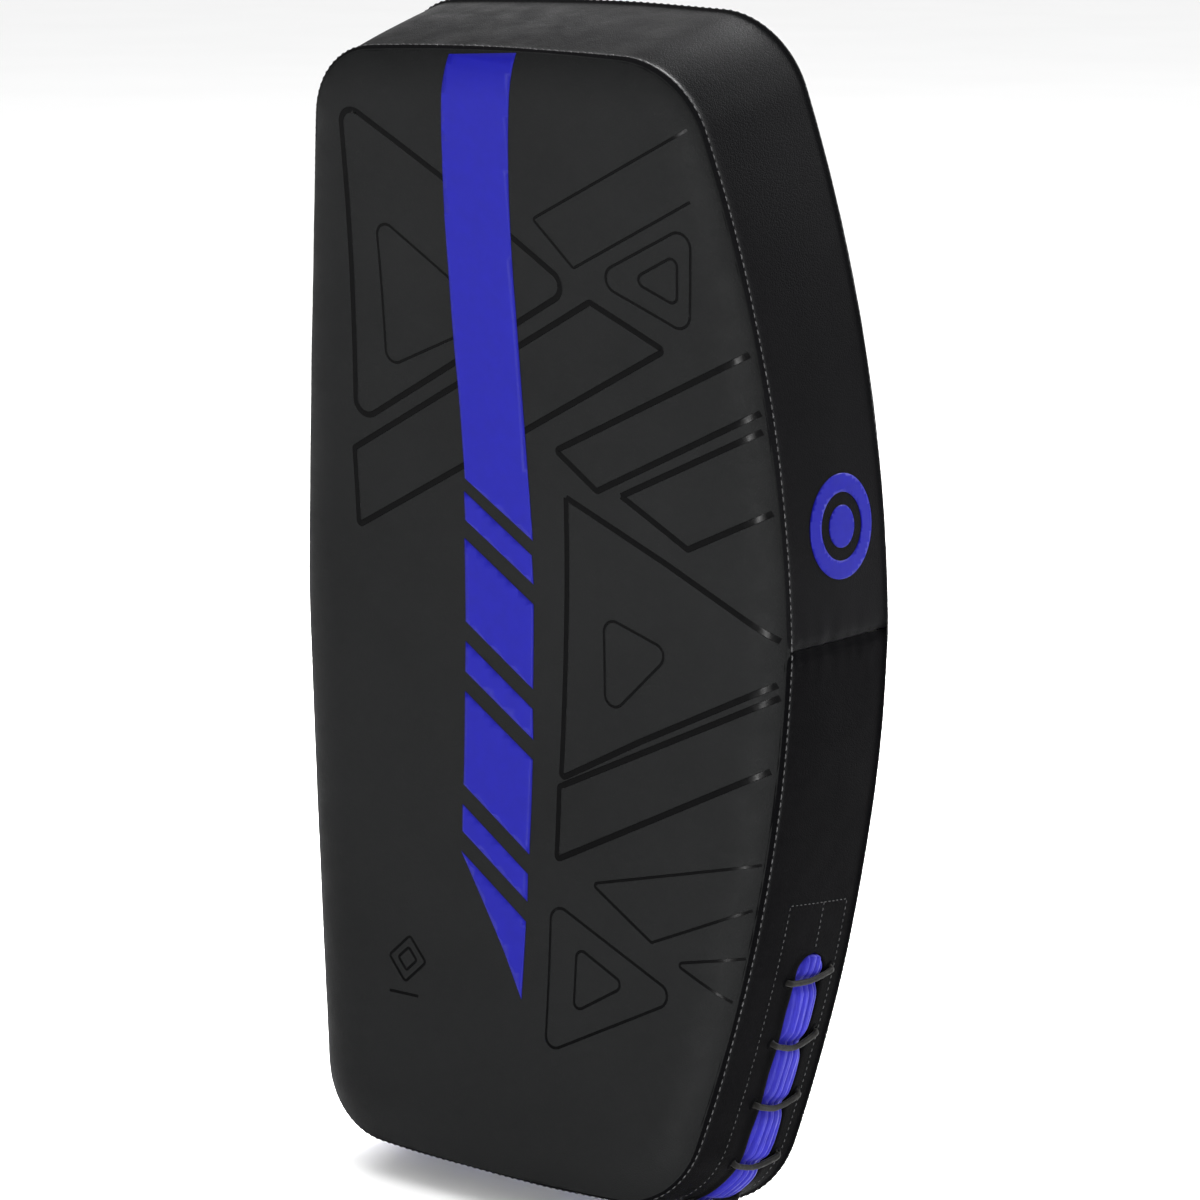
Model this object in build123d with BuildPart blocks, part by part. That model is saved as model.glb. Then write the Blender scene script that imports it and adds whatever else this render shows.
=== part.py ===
from build123d import *
import math
import os

os.makedirs("parts", exist_ok=True)

# A curved kick shield, standing upright. +X is to the right of someone facing the
# strike face, -Y points out of that face and +Z is up. All sizes are in millimetres.

# Pad
bend_radius = 1313.0        # strike face, hollow from top to bottom
pad_thickness = 100.0
face_half_width = 174.0     # at mid height
face_quarter_half_width = 160.6
face_end_half_width = 127.0
face_half_height = 327.5    # straight up from the middle to the end of the face
face_sagitta = bend_radius - math.sqrt(bend_radius ** 2 - face_half_height ** 2)
end_rise = 5.0              # how far the middle of each end stands above its corners
corner_radius = 52.0
side_flare = 0.070          # the walls open out a little towards the back
end_flare = 0.077
height_flare = face_half_height / math.sqrt(bend_radius ** 2 - face_half_height ** 2)

skin = 1.0                  # coated synthetic leather
clear = 0.3                 # between one layer and the next

# Foam stack, from the strike face back
face_foam_depth = 10.0
impact_foam_depth = 34.0
core_foam_depth = 40.0

# Lace-up opening round the foot of the pad
slit_depth = 63.0           # from the face to the middle of the slit
slit_width = 25.0
slit_top_arc = -176.0       # along the bend, from mid height
facing_front = 27.0
facing_back = 90.0
facing_top_arc = -147.0
lace_diameter = 3.6
lace_hole_radius = 2.3
lace_knot_radius = 2.1
lace_pitch = 36.0
lace_rise = 6.5
lace_spread = 19.0          # hole to the middle of the slit
lace_inside = 4.4           # lace centre line, inside the wall
lace_outside = 2.1          # lace centre line, outside the wall
lace_slack = 0.9
lace_tail = 14.0
lining_inset = 9.0
lining_skin = 0.8
groove_inset = lining_inset + lining_skin + clear

# Back of the pad: forearm straps and hand grip
strap_arcs = {"upper": 45.0, "lower": -115.0}
strap_width = 80.0
strap_half_span = 72.0
strap_height = 68.0
strap_corner = 52.0
strap_skin = 2.4
strap_padding = 8.0
padding_foot = 13.0
strap_landing = 58.0
strap_patch_height = 96.0
anchor_tab_skin = 2.0
hinge_height = 5.2
patch_skin = 1.2
tape_skin = 1.6
grip_arc = 195.0
grip_half_span = 92.0
grip_height = 46.0
grip_sleeve_length = 112.0
grip_sleeve_radius = 16.0
webbing_width = 25.0
webbing_skin = 2.2
grip_patch_width = 58.0
grip_tab_length = 28.0
swing_height = 3.4          # of the grip's swing axis above the back
grip_foot = 8.6             # above the swing axis, so the webbing clears the back

back_radius = bend_radius + pad_thickness
far = 400.0                 # past the pad on every side
bend_end_arc = 420.0        # past both ends


def face_point(arc, depth, x=0.0):
    """A point at an arc distance up the face and a depth behind it."""
    angle = arc / bend_radius
    radius = bend_radius + depth
    return Vector(x, radius * math.cos(angle) - bend_radius, radius * math.sin(angle))


def tangent_plane(arc, depth):
    """Local x across, local y straight out of the back, local z up along the bend."""
    angle = arc / bend_radius
    up = (0, -math.sin(angle), math.cos(angle))
    return Plane(origin=face_point(arc, depth), x_dir=(1, 0, 0), z_dir=up)


def outline(y, inset):
    """The barrel-shaped outline of the pad where a plane at y cuts it."""
    middle = face_half_width + side_flare * y
    quarter = face_quarter_half_width + side_flare * y
    end = face_end_half_width + end_flare * (y + face_sagitta)
    top = face_half_height + height_flare * (y + face_sagitta)
    with BuildSketch(Plane.XZ.offset(-y)) as shape:
        with BuildLine():
            right_top = (end, top - end_rise)
            left_top = (-end, top - end_rise)
            right_foot = (end, end_rise - top)
            left_foot = (-end, end_rise - top)
            ThreePointArc(left_top, (0, top), right_top)
            ThreePointArc(right_top, (quarter, top / 2), (middle, 0))
            ThreePointArc((middle, 0), (quarter, -top / 2), right_foot)
            ThreePointArc(right_foot, (0, -top), left_foot)
            ThreePointArc(left_foot, (-quarter, -top / 2), (-middle, 0))
            ThreePointArc((-middle, 0), (-quarter, top / 2), left_top)
        make_face()
        fillet(shape.vertices().filter_by(lambda v: abs(v.Y) > top / 2), corner_radius)
        if inset:
            offset(amount=-inset, mode=Mode.REPLACE)
    return shape.sketch


def block(inset=0.0):
    """The full wall of the pad, before the curved face and back are cut."""
    with BuildPart() as solid:
        loft(sections=[outline(-60, inset), outline(112, inset)], ruled=True)
    return solid.part


def bend_band(front, back, low_arc=-bend_end_arc, high_arc=bend_end_arc, half_width=far):
    """A curved slab between two depths and two arc distances."""
    low = math.degrees(low_arc / bend_radius)
    sweep_angle = math.degrees(high_arc / bend_radius) - low
    with BuildPart() as slab:
        with BuildSketch(Plane.YZ):
            with BuildLine():
                centre = (-bend_radius, 0)
                inner = CenterArc(centre, bend_radius + front, low, sweep_angle)
                outer = CenterArc(centre, bend_radius + back, low, sweep_angle)
                Line(inner @ 0, outer @ 0)
                Line(inner @ 1, outer @ 1)
            make_face()
        extrude(amount=half_width, both=True)
    return slab.part


def surface_plane(arc):
    """Lies against the back, local x across and local y up along the bend."""
    angle = arc / bend_radius
    out = (0, math.cos(angle), math.sin(angle))
    return Plane(origin=face_point(arc, pad_thickness), x_dir=(1, 0, 0), z_dir=out)


def back_patch(arc, left, right, height, low, thickness, corner=6.0):
    """A thin patch with round corners that lies along the curved back."""
    with BuildPart() as patch:
        with BuildSketch(surface_plane(arc)):
            with Locations(((left + right) / 2, 0)):
                RectangleRounded(right - left, height, corner)
        extrude(amount=20, both=True)
        add(bend_band(pad_thickness + low, pad_thickness + low + thickness), mode=Mode.INTERSECT)
    return patch.part


wall = block()
wall_inside = block(skin)
foam_wall = block(skin + clear)

# Cover: a face panel, a back panel and a gusset of two lengths sewn at mid height
with BuildPart() as front_panel:
    add(wall)
    add(bend_band(0, skin), mode=Mode.INTERSECT)
front_panel.part.label = "front_panel"

with BuildPart() as back_panel:
    add(wall)
    add(bend_band(pad_thickness - skin, pad_thickness), mode=Mode.INTERSECT)
back_panel.part.label = "back_panel"

with BuildPart() as upper_gusset:
    add(wall)
    add(wall_inside, mode=Mode.SUBTRACT)
    add(bend_band(skin + 0.1, pad_thickness - skin - 0.1, 0.2), mode=Mode.INTERSECT)
upper_gusset.part.label = "upper_gusset"


def opening_edge(run):
    """Where the slit's route is, a run along the wall from its right end.

    Returns a function of depth that gives a point inside the pad and the way
    straight out through the wall.
    """
    end_arc = bend_radius * math.asin((face_half_height - end_rise) / bend_radius)
    corner_arc = corner_radius - 2.0 - end_arc
    side_run = slit_top_arc - corner_arc
    corner_run = corner_radius * math.pi / 2
    corner_x = face_end_half_width - 41.0
    half_run = side_run + corner_run + corner_x
    side = 1 if run <= half_run else -1
    run = run if side > 0 else 2 * half_run - run

    def place(depth):
        if run < side_run:
            arc, x, turn = slit_top_arc - run, 0.0, 0.0
        elif run < side_run + corner_run:
            arc, x, turn = corner_arc, corner_x, (run - side_run) / corner_radius
        else:
            arc, x, turn = corner_arc, half_run - run, math.pi / 2
        up = tangent_plane(corner_arc, 0).z_dir
        start = face_point(arc, depth, side * x)
        return start, Vector(side * math.cos(turn), 0, 0) - up * math.sin(turn)

    return place, half_run


def wall_hit(run, depth):
    """The point on the wall and its outward normal."""
    place, _ = opening_edge(run)
    start, way = place(depth)
    hits = wall.shell().find_intersection_points(Axis(start, way))
    point, normal = max(hits, key=lambda hit: (hit[0] - start).dot(way))
    return point, normal if normal.dot(way) > 0 else -normal


def opening_cut(width):
    """The slit as a round-ended slot along the bend, right through the pad."""
    end_angle = math.degrees(slit_top_arc / bend_radius)
    with BuildPart() as cut:
        with BuildSketch(Plane.YZ):
            with BuildLine(mode=Mode.PRIVATE):
                route = CenterArc((-bend_radius, 0), bend_radius + slit_depth, end_angle, -12)
            SlotArc(arc=route, height=width)
        extrude(amount=far, both=True)
    return cut.part


_, opening_half_run = opening_edge(0)
first_row = 16.0
row_count = 2 * round((opening_half_run - first_row) / lace_pitch) + 1
row_pitch = 2 * (opening_half_run - first_row) / (row_count - 1)
rows = [first_row + row_pitch * row for row in range(row_count)]

def lace_at(hole, away):
    """A point on the lace's centre line, a distance out of the wall at a hole."""
    return hole[0] + hole[1] * away


# straight bars outside; inside, the lace steps to the next pair along one edge
holes = []
lace_points = []
for row, run in enumerate(rows):
    front_hole = wall_hit(run, slit_depth - lace_spread)
    back_hole = wall_hit(run - lace_rise, slit_depth + lace_spread)
    holes += [front_hole, back_hole]
    first, last = (front_hole, back_hole) if row % 2 == 0 else (back_hole, front_hole)
    if row > 0:
        way_back = -lace_spread if row % 2 == 0 else lace_spread
        drop = 0 if row % 2 == 0 else lace_rise
        halfway = wall_hit(run - drop - row_pitch / 2, slit_depth + way_back)
        lace_points.append(lace_at(halfway, -lace_inside - lace_slack))
    lace_points.append(lace_at(first, -lace_inside))
    lace_points.append(lace_at(first, lace_outside))
    lace_points.append(lace_at(last, lace_outside))
    lace_points.append(lace_at(last, -lace_inside))

# each end is tucked inside, under its own bar
first_way = (lace_points[3] - lace_points[0]).normalized()
last_way = (lace_points[-4] - lace_points[-1]).normalized()
lace_points.insert(0, lace_points[0] + first_way * lace_tail)
lace_points.append(lace_points[-1] + last_way * lace_tail)

with BuildPart() as lower_gusset:
    add(wall)
    add(wall_inside, mode=Mode.SUBTRACT)
    add(bend_band(skin + 0.1, pad_thickness - skin - 0.1, -bend_end_arc, -0.2), mode=Mode.INTERSECT)
    add(opening_cut(slit_width), mode=Mode.SUBTRACT)
    for point, normal in holes:
        with Locations(Plane(origin=point, z_dir=normal)):
            Cylinder(lace_hole_radius, 6, mode=Mode.SUBTRACT)
lower_gusset.part.label = "lower_gusset"

# Reinforcing facing sewn inside the gusset round the slit
with BuildPart() as opening_facing:
    add(block(skin + 0.2))
    add(block(2 * skin + 0.2), mode=Mode.SUBTRACT)
    add(bend_band(facing_front, facing_back, -bend_end_arc, facing_top_arc), mode=Mode.INTERSECT)
    add(opening_cut(slit_width + 2), mode=Mode.SUBTRACT)
    for point, normal in holes:
        with Locations(Plane(origin=point, z_dir=normal)):
            Cylinder(lace_hole_radius, 8, mode=Mode.SUBTRACT)
opening_facing.part.label = "opening_facing"

# Coloured lining behind the slit
with BuildPart() as opening_lining:
    add(block(lining_inset))
    add(block(lining_inset + lining_skin), mode=Mode.SUBTRACT)
    add(bend_band(facing_front + 3, facing_back - 3, -bend_end_arc, facing_top_arc - 6), mode=Mode.INTERSECT)
opening_lining.part.label = "opening_lining"

# Lace: one spiral through every pair of holes
with BuildPart() as lace:
    with BuildLine():
        lace_radii = []
        for before, corner, after in zip(lace_points, lace_points[1:], lace_points[2:]):
            shorter = min((corner - before).length, (after - corner).length)
            turn = math.radians((corner - before).get_angle(after - corner))
            lace_radii.append(0.45 * shorter / math.tan(turn / 2))
        lace_route = FilletPolyline(*lace_points, radius=lace_radii)
    with BuildSketch(Plane(origin=lace_route @ 0, z_dir=lace_route % 0)):
        Circle(lace_diameter / 2)
    sweep()
    with Locations(lace_route @ 0, lace_route @ 1):
        Sphere(lace_knot_radius)
lace.part.label = "lace"

print("lace rows", row_count, "pitch", round(row_pitch, 1))
print("lace radii", round(min(lace_radii), 2), "to", round(max(lace_radii), 2))
print("lace length", round(lace_route.length, 1), "volume", round(lace.part.volume, 1),
      "section x length", round(math.pi * (lace_diameter / 2) ** 2 * lace_route.length, 1))

# Foam stack, with a groove round the foot where the lining and lace lie
groove_front = facing_front - 2
groove_back = facing_back + 2
with BuildPart() as groove:
    add(block(-20))
    add(block(groove_inset), mode=Mode.SUBTRACT)
    add(bend_band(groove_front, groove_back, -bend_end_arc, facing_top_arc + 2), mode=Mode.INTERSECT)


def foam_layer(front, thickness):
    with BuildPart() as layer:
        add(foam_wall)
        add(bend_band(front, front + thickness), mode=Mode.INTERSECT)
        if front + thickness > groove_front:
            add(groove.part, mode=Mode.SUBTRACT)
    return layer.part


depth = skin + clear
face_foam = foam_layer(depth, face_foam_depth)
face_foam.label = "face_foam"
depth += face_foam_depth + clear
impact_foam = foam_layer(depth, impact_foam_depth)
impact_foam.label = "impact_foam"
depth += impact_foam_depth + clear
core_foam = foam_layer(depth, core_foam_depth)
core_foam.label = "core_foam"
depth += core_foam_depth + clear
back_foam = foam_layer(depth, pad_thickness - skin - clear - depth)
back_foam.label = "back_foam"

pieces = [front_panel.part, back_panel.part, upper_gusset.part, lower_gusset.part]
pieces += [opening_facing.part, opening_lining.part, lace.part]
pieces += [face_foam, impact_foam, core_foam, back_foam]

# Forearm straps: an anchor on the left, a landing with loop tape on the right, and a
# padded flap that arches over the forearm and peels open about its sewn edge
patch_low = 0.2             # a patch's underside above the back
tab_low = patch_low + patch_skin + 0.2
tape_top = tab_low + tape_skin
hook_low = tape_top + 0.4
flap_low = hook_low + tape_skin + 0.2
padding_inset = strap_skin / 2 + clear


def strap_arch(inset, foot):
    """The arch's two legs and crown, as a line at an inset from its middle surface."""
    side = strap_half_span - inset
    top = strap_height - inset
    return [(-side, foot), (-side, top), (side, top), (side, foot)]


for name, arc in strap_arcs.items():
    plane = tangent_plane(arc, pad_thickness)
    landing_right = strap_half_span + strap_landing

    anchor_patch = back_patch(arc, -strap_half_span - 40, -strap_half_span + 14,
                              strap_patch_height, patch_low, patch_skin)
    anchor_patch.label = name + "_strap_anchor_patch"
    anchor_tab = back_patch(arc, -strap_half_span - 32, -strap_half_span - 1.6, strap_width,
                            tab_low, anchor_tab_skin, 1.0)
    anchor_tab.label = name + "_strap_anchor_tab"
    landing_patch = back_patch(arc, strap_half_span - 14, landing_right + 18,
                               strap_patch_height, patch_low, patch_skin)
    landing_patch.label = name + "_strap_landing_patch"
    loop_tape = back_patch(arc, strap_half_span - 6, landing_right + 10, strap_width - 12,
                           tab_low, tape_skin, 2.0)
    loop_tape.label = name + "_strap_loop_tape"

    with BuildPart() as flap:
        with BuildSketch(plane):
            with BuildLine(mode=Mode.PRIVATE):
                flap_middle = flap_low + strap_skin / 2
                arch = strap_arch(0, hinge_height)
                arch[-1] = (strap_half_span, flap_middle)
                arch.append((landing_right, flap_middle))
                route = FilletPolyline(*arch, radius=[strap_corner, strap_corner, 9])
            SlotArc(arc=route, height=strap_skin)
        extrude(amount=strap_width / 2, both=True)
    flap.part.label = name + "_strap_flap"

    with BuildPart() as padding:
        with BuildSketch(plane):
            with BuildLine(mode=Mode.PRIVATE):
                middle = padding_inset + strap_padding / 2
                route = FilletPolyline(*strap_arch(middle, padding_foot), radius=strap_corner - middle)
            SlotArc(arc=route, height=strap_padding)
        extrude(amount=strap_width / 2 - 3, both=True)
    padding.part.label = name + "_strap_padding"

    with BuildPart() as hook_tape:
        with BuildSketch(plane):
            with Locations(((strap_half_span + landing_right) / 2 + 6, hook_low + tape_skin / 2)):
                Rectangle(strap_landing - 18, tape_skin)
        extrude(amount=strap_width / 2 - 7, both=True)
    hook_tape.part.label = name + "_strap_hook_tape"

    pieces += [anchor_patch, anchor_tab, landing_patch, loop_tape]
    pieces += [flap.part, padding.part, hook_tape.part]
    hinge = plane.from_local_coords(Vector(-strap_half_span, hinge_height, 0))
    print(name, "strap hinge", hinge, "axis", plane.z_dir)

# Hand grip: webbing through a padded sleeve, sewn down under a patch at each end
grip_plane = tangent_plane(grip_arc, pad_thickness)
with BuildPart() as grip_webbing:
    with BuildSketch(grip_plane):
        with BuildLine(mode=Mode.PRIVATE):
            foot = swing_height + grip_foot
            shoulder = grip_sleeve_length / 2 + 14
            route = FilletPolyline((-grip_half_span, foot), (-shoulder, grip_height),
                                   (shoulder, grip_height), (grip_half_span, foot), radius=12)
        SlotArc(arc=route, height=webbing_skin)
    extrude(amount=webbing_width / 2, both=True)
grip_webbing.part.label = "grip_webbing"

grip_middle = grip_plane.from_local_coords(Vector(0, grip_height, 0))
with BuildPart() as grip_sleeve:
    with BuildSketch(Plane(origin=grip_middle, x_dir=grip_plane.y_dir, z_dir=(1, 0, 0))):
        Circle(grip_sleeve_radius)
        Rectangle(webbing_skin + 2 * clear, webbing_width + 2 * clear, mode=Mode.SUBTRACT)
    extrude(amount=grip_sleeve_length / 2, both=True)
    fillet(grip_sleeve.edges().filter_by(GeomType.CIRCLE), 4)
grip_sleeve.part.label = "grip_sleeve"
pieces += [grip_webbing.part, grip_sleeve.part]

for side, name in ((-1, "left"), (1, "right")):
    tab_start = grip_half_span + 2
    ends = sorted((side * tab_start, side * (tab_start + grip_tab_length)))
    grip_tab = back_patch(grip_arc, *ends, webbing_width, tab_low, webbing_skin, 1.0)
    grip_tab.label = "grip_tab_" + name
    ends = sorted((side * (tab_start - 16), side * (tab_start + grip_tab_length + 8)))
    grip_patch = back_patch(grip_arc, *ends, grip_patch_width, patch_low, patch_skin)
    grip_patch.label = "grip_patch_" + name
    pieces += [grip_tab, grip_patch]
print("grip swing", grip_plane.from_local_coords(Vector(0, swing_height, 0)), "about X")

# The origin is the middle of the whole shield's box
whole = Compound(pieces).bounding_box()
middle = (whole.min + whole.max) * 0.5
print("box", whole.size, "middle moved to the origin", middle)
for piece in pieces:
    label = piece.label
    piece = piece.moved(Location(-middle))
    piece.label = label
    export_step(piece, "parts/" + label + ".step")
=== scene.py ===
import math

import bmesh
import bpy
import numpy as np
from mathutils import Matrix, Vector, noise
from mathutils.bvhtree import BVHTree


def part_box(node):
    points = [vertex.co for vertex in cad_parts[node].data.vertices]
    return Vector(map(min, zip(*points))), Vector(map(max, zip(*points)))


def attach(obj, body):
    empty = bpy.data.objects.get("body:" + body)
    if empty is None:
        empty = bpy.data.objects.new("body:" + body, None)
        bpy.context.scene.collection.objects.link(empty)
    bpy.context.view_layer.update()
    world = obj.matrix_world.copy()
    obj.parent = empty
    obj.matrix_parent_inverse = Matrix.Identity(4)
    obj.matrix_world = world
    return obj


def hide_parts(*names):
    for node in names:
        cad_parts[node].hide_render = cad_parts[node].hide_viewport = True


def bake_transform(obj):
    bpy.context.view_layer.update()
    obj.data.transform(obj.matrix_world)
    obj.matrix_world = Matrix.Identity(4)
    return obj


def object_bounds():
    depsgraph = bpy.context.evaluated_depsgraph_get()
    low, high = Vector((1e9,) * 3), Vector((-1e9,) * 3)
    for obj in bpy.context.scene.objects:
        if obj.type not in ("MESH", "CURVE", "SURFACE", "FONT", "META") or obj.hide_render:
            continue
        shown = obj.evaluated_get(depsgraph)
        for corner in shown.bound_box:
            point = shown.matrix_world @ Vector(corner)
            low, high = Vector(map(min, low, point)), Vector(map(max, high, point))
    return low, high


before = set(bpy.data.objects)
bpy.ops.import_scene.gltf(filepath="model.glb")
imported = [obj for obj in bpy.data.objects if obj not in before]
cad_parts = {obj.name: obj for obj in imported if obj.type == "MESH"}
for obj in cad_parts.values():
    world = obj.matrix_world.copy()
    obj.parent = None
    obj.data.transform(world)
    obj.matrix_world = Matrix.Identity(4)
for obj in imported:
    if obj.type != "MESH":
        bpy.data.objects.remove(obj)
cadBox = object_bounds()
mm = 0.001

# the pad's own measures, the same as the part's, in millimetres
pad = {
    "bendRadius": 1313.0,
    "thickness": 100.0,
    "halfWidth": 174.0,
    "quarterWidth": 160.0,
    "endWidth": 127.0,
    "endArc": 331.0,
    "endRise": 5.0,
    "cornerRadius": 52.0,
    "flare": 0.07,
    "columns": 240,         # to a quarter of the way round
}
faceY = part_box("front_panel")[1].y / mm - 1.0     # middle of the strike face


def bend(x, arc, depth):
    # from across, along the bend and behind the face, to the shield's own frame in metres
    angle = np.asarray(arc, float) / pad["bendRadius"]
    radius = pad["bendRadius"] + np.asarray(depth, float)
    y = radius * np.cos(angle) - pad["bendRadius"] + faceY
    z = radius * np.sin(angle)
    return np.stack(np.broadcast_arrays(np.asarray(x, float), y, z), -1) * mm


def bendNormal(arc):
    # the way out of the back at a height along the bend
    angle = np.asarray(arc, float) / pad["bendRadius"]
    return np.stack(np.broadcast_arrays(0 * angle, np.cos(angle), np.sin(angle)), -1)


def runOf(line):
    # distance along a line at each of its points
    return np.concatenate([[0], np.cumsum(np.linalg.norm(np.diff(line, axis=0), axis=1))])


def pick(at, run, line):
    # the line's places at the given distances along it
    return np.stack([np.interp(at, run, line[:, k]) for k in range(line.shape[1])], -1)


def cornerArc(before, here, after, radius, limit):
    # centre, radius and both angles of the arc that turns a corner, kept within its legs
    toBefore, toAfter = before - here, after - here
    legs = np.linalg.norm(toBefore), np.linalg.norm(toAfter)
    toBefore, toAfter = toBefore / legs[0], toAfter / legs[1]
    half = math.acos(float(np.clip(toBefore.dot(toAfter), -1, 1))) / 2
    reach = min(radius / math.tan(half), limit * legs[0], limit * legs[1])
    bow = reach * math.tan(half)
    middle = toBefore + toAfter
    centre = here + middle / np.linalg.norm(middle) * bow / math.sin(half)
    first, last = here + toBefore * reach - centre, here + toAfter * reach - centre
    start, end = math.atan2(first[1], first[0]), math.atan2(last[1], last[0])
    return centre, bow, start, start + (end - start + math.pi) % (2 * math.pi) - math.pi


def arcPlaces(centre, bow, start, end, step):
    count = max(5, int(abs(end - start) * bow / step))
    return [centre + bow * np.array([math.cos(t), math.sin(t)]) for t in np.linspace(start, end, count)]


def quarterOutline(depth):
    wide = pad["halfWidth"] + pad["flare"] * depth
    quarter = pad["quarterWidth"] + pad["flare"] * depth
    end = pad["endWidth"] + pad["flare"] * depth
    side = pad["endArc"] - pad["endRise"]
    radius = pad["cornerRadius"]
    up = np.linspace(0, side, 900)
    curve = 2 * (end - 2 * quarter + wide) / side ** 2
    slope = (end - wide) / side - curve * side
    sideLine = np.stack([wide + slope * up + curve * up ** 2, up], -1)
    across = np.linspace(end, 0, 500)
    endLine = np.stack([across, pad["endArc"] - pad["endRise"] * (across / end) ** 2], -1)
    centre = np.array([end - radius, side - radius])
    for _ in range(80):
        toSide = np.linalg.norm(sideLine - centre, axis=1)
        toEnd = np.linalg.norm(endLine - centre, axis=1)
        centre += np.array([toSide.min() - radius, toEnd.min() - radius])
    leave, join = toSide.argmin(), toEnd.argmin()
    first, last = sideLine[leave] - centre, endLine[join] - centre
    turn = np.linspace(math.atan2(first[1], first[0]), math.atan2(last[1], last[0]), 120)
    corner = centre + radius * np.stack([np.cos(turn), np.sin(turn)], -1)
    line = np.concatenate([sideLine[:leave], corner, endLine[join + 1:]])
    run = runOf(line)
    return pick(np.linspace(0, run[-1], pad["columns"] + 1), run, line)


def wholeOutline(depth):
    # counted from the middle of the right side, up and over
    q = quarterOutline(depth)
    parts = [q[:-1], (q * [-1, 1])[:0:-1], (q * [-1, -1])[:-1], (q * [1, -1])[:0:-1]]
    return np.concatenate(parts)


frontLine = wholeOutline(0)
backLine = wholeOutline(pad["thickness"])
around = len(frontLine)
ahead = np.roll(frontLine, -1, 0) - np.roll(frontLine, 1, 0)
outward = np.stack([ahead[:, 1], -ahead[:, 0]], -1)
outward /= np.linalg.norm(outward, axis=1)[:, None]
rimRun = runOf(np.vstack([frontLine, frontLine[:1]]))
rimLength = rimRun[-1]
leftMiddle, footMiddle = around // 2, 3 * around // 4


def rimAt(run):
    # outline point, outward way and back outline point at a run round the rim
    run = np.mod(np.asarray(run, float), rimLength)

    def take(values):
        return pick(run, rimRun, np.concatenate([values, values[:1]]))

    way = take(outward)
    return take(frontLine), way / np.linalg.norm(way, axis=-1)[..., None], take(backLine)


def wallPoint(run, depth, out=0.0):
    # a place on the side wall, a distance out of it
    front, way, back = rimAt(run)
    part = (np.asarray(depth, float) / pad["thickness"])[..., None]
    place = front + (back - front) * part + way * np.asarray(out, float)[..., None]
    return bend(place[..., 0], place[..., 1], depth)


def ripple(x, y, size, seed):
    # smooth, even-handed unevenness between -1 and 1
    flat = np.stack(np.broadcast_arrays(x, y), -1).reshape(-1, 2) / size
    values = [noise.noise(Vector((a, b, seed))) for a, b in flat]
    return np.array(values).reshape(np.broadcast(x, y).shape)


def edgeDistance(x, arc, depth=0.0):
    # how far inside the rim a place on the face or back is
    line = frontLine + (backLine - frontLine) * depth / pad["thickness"]
    here = np.stack(np.broadcast_arrays(x, arc), -1).reshape(-1, 2)
    found = [np.sqrt(((line - p) ** 2).sum(1).min()) for p in here]
    return np.array(found).reshape(np.broadcast(x, arc).shape)


# Finishes
tones = {
    "cover": (0.0052, 0.0054, 0.0055),
    "side": (0.0033, 0.0033, 0.0036),
    # a darker copy of the side leather for the lower wall: painted shade, where the light from above falls
    # off
    "shadedLowerSide": (0.0017, 0.0017, 0.0019),
    "strap": (0.0068, 0.0068, 0.0072),
    "blue": (0.0040, 0.0040, 0.140),
    "lining": (0.0095, 0.0080, 0.20),
    "inkBlack": (0.0008, 0.0008, 0.0009),
    "thread": (0.045, 0.045, 0.046),
    "cord": (0.0052, 0.0050, 0.0046),
    "webbing": (0.0085, 0.0085, 0.009),
    "tape": (0.010, 0.010, 0.0105),
    "mesh": (0.012, 0.012, 0.0135),
    "softFoam": (0.55, 0.55, 0.50),
    "firmFoam": (0.16, 0.16, 0.17),
}


def scaled(colour, factor):
    return tuple(c * factor for c in colour)


class Finish:
    # a small helper that strings shader nodes together
    def __init__(self, name, colour, roughness, specular):
        self.material = bpy.data.materials.new(name)
        self.material.use_nodes = True
        self.nodes = self.material.node_tree.nodes
        self.links = self.material.node_tree.links
        self.shader = self.nodes["Principled BSDF"]
        self.shader.inputs["Base Color"].default_value = (*colour, 1)
        self.shader.inputs["Roughness"].default_value = roughness
        self.shader.inputs["Specular IOR Level"].default_value = specular
        self.where = self.nodes.new("ShaderNodeTexCoord").outputs["Object"]
        self.material.diffuse_color = (*colour, 1)
        self.colour = colour

    def add(self, kind, inputs=None, **settings):
        node = self.nodes.new("ShaderNode" + kind)
        for key, value in settings.items():
            setattr(node, key, value)
        for key, value in (inputs or {}).items():
            if isinstance(value, bpy.types.NodeSocket):
                self.links.new(value, node.inputs[key])
            else:
                node.inputs[key].default_value = value
        return node

    def noise(self, scale, detail=3.0, rough=0.5):
        settings = {"Vector": self.where, "Scale": scale, "Detail": detail, "Roughness": rough}
        return self.add("TexNoise", settings).outputs["Fac"]

    def cells(self, scale):
        return self.add("TexVoronoi", {"Vector": self.where, "Scale": scale}).outputs["Distance"]

    def spread(self, value, low, high, fromLow=0.0, fromHigh=1.0):
        settings = {"Value": value, "From Min": fromLow, "From Max": fromHigh,
                    "To Min": low, "To Max": high}
        return self.add("MapRange", settings).outputs[0]

    def tint(self, value, dark, light):
        # the tone itself, between a darker and a lighter share of it
        ramp = self.add("ValToRGB", {"Fac": value})
        for stop, place, share in zip(ramp.color_ramp.elements, (0.25, 0.75), (dark, light)):
            stop.position, stop.color = place, (*scaled(self.colour, share), 1)
        self.links.new(ramp.outputs["Color"], self.shader.inputs["Base Color"])

    def speckle(self, scale, low, high, detail=3.0, rough=0.5):
        # roughness that wanders between two values
        value = self.spread(self.noise(scale, detail, rough), low, high, 0.3, 0.7)
        self.links.new(value, self.shader.inputs["Roughness"])

    def bump(self, height, strength, distance, below=None):
        inputs = {"Height": height, "Strength": strength, "Distance": distance}
        if below:
            inputs["Normal"] = below
        return self.add("Bump", inputs).outputs["Normal"]

    def relief(self, normal):
        self.links.new(normal, self.shader.inputs["Normal"])


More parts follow.
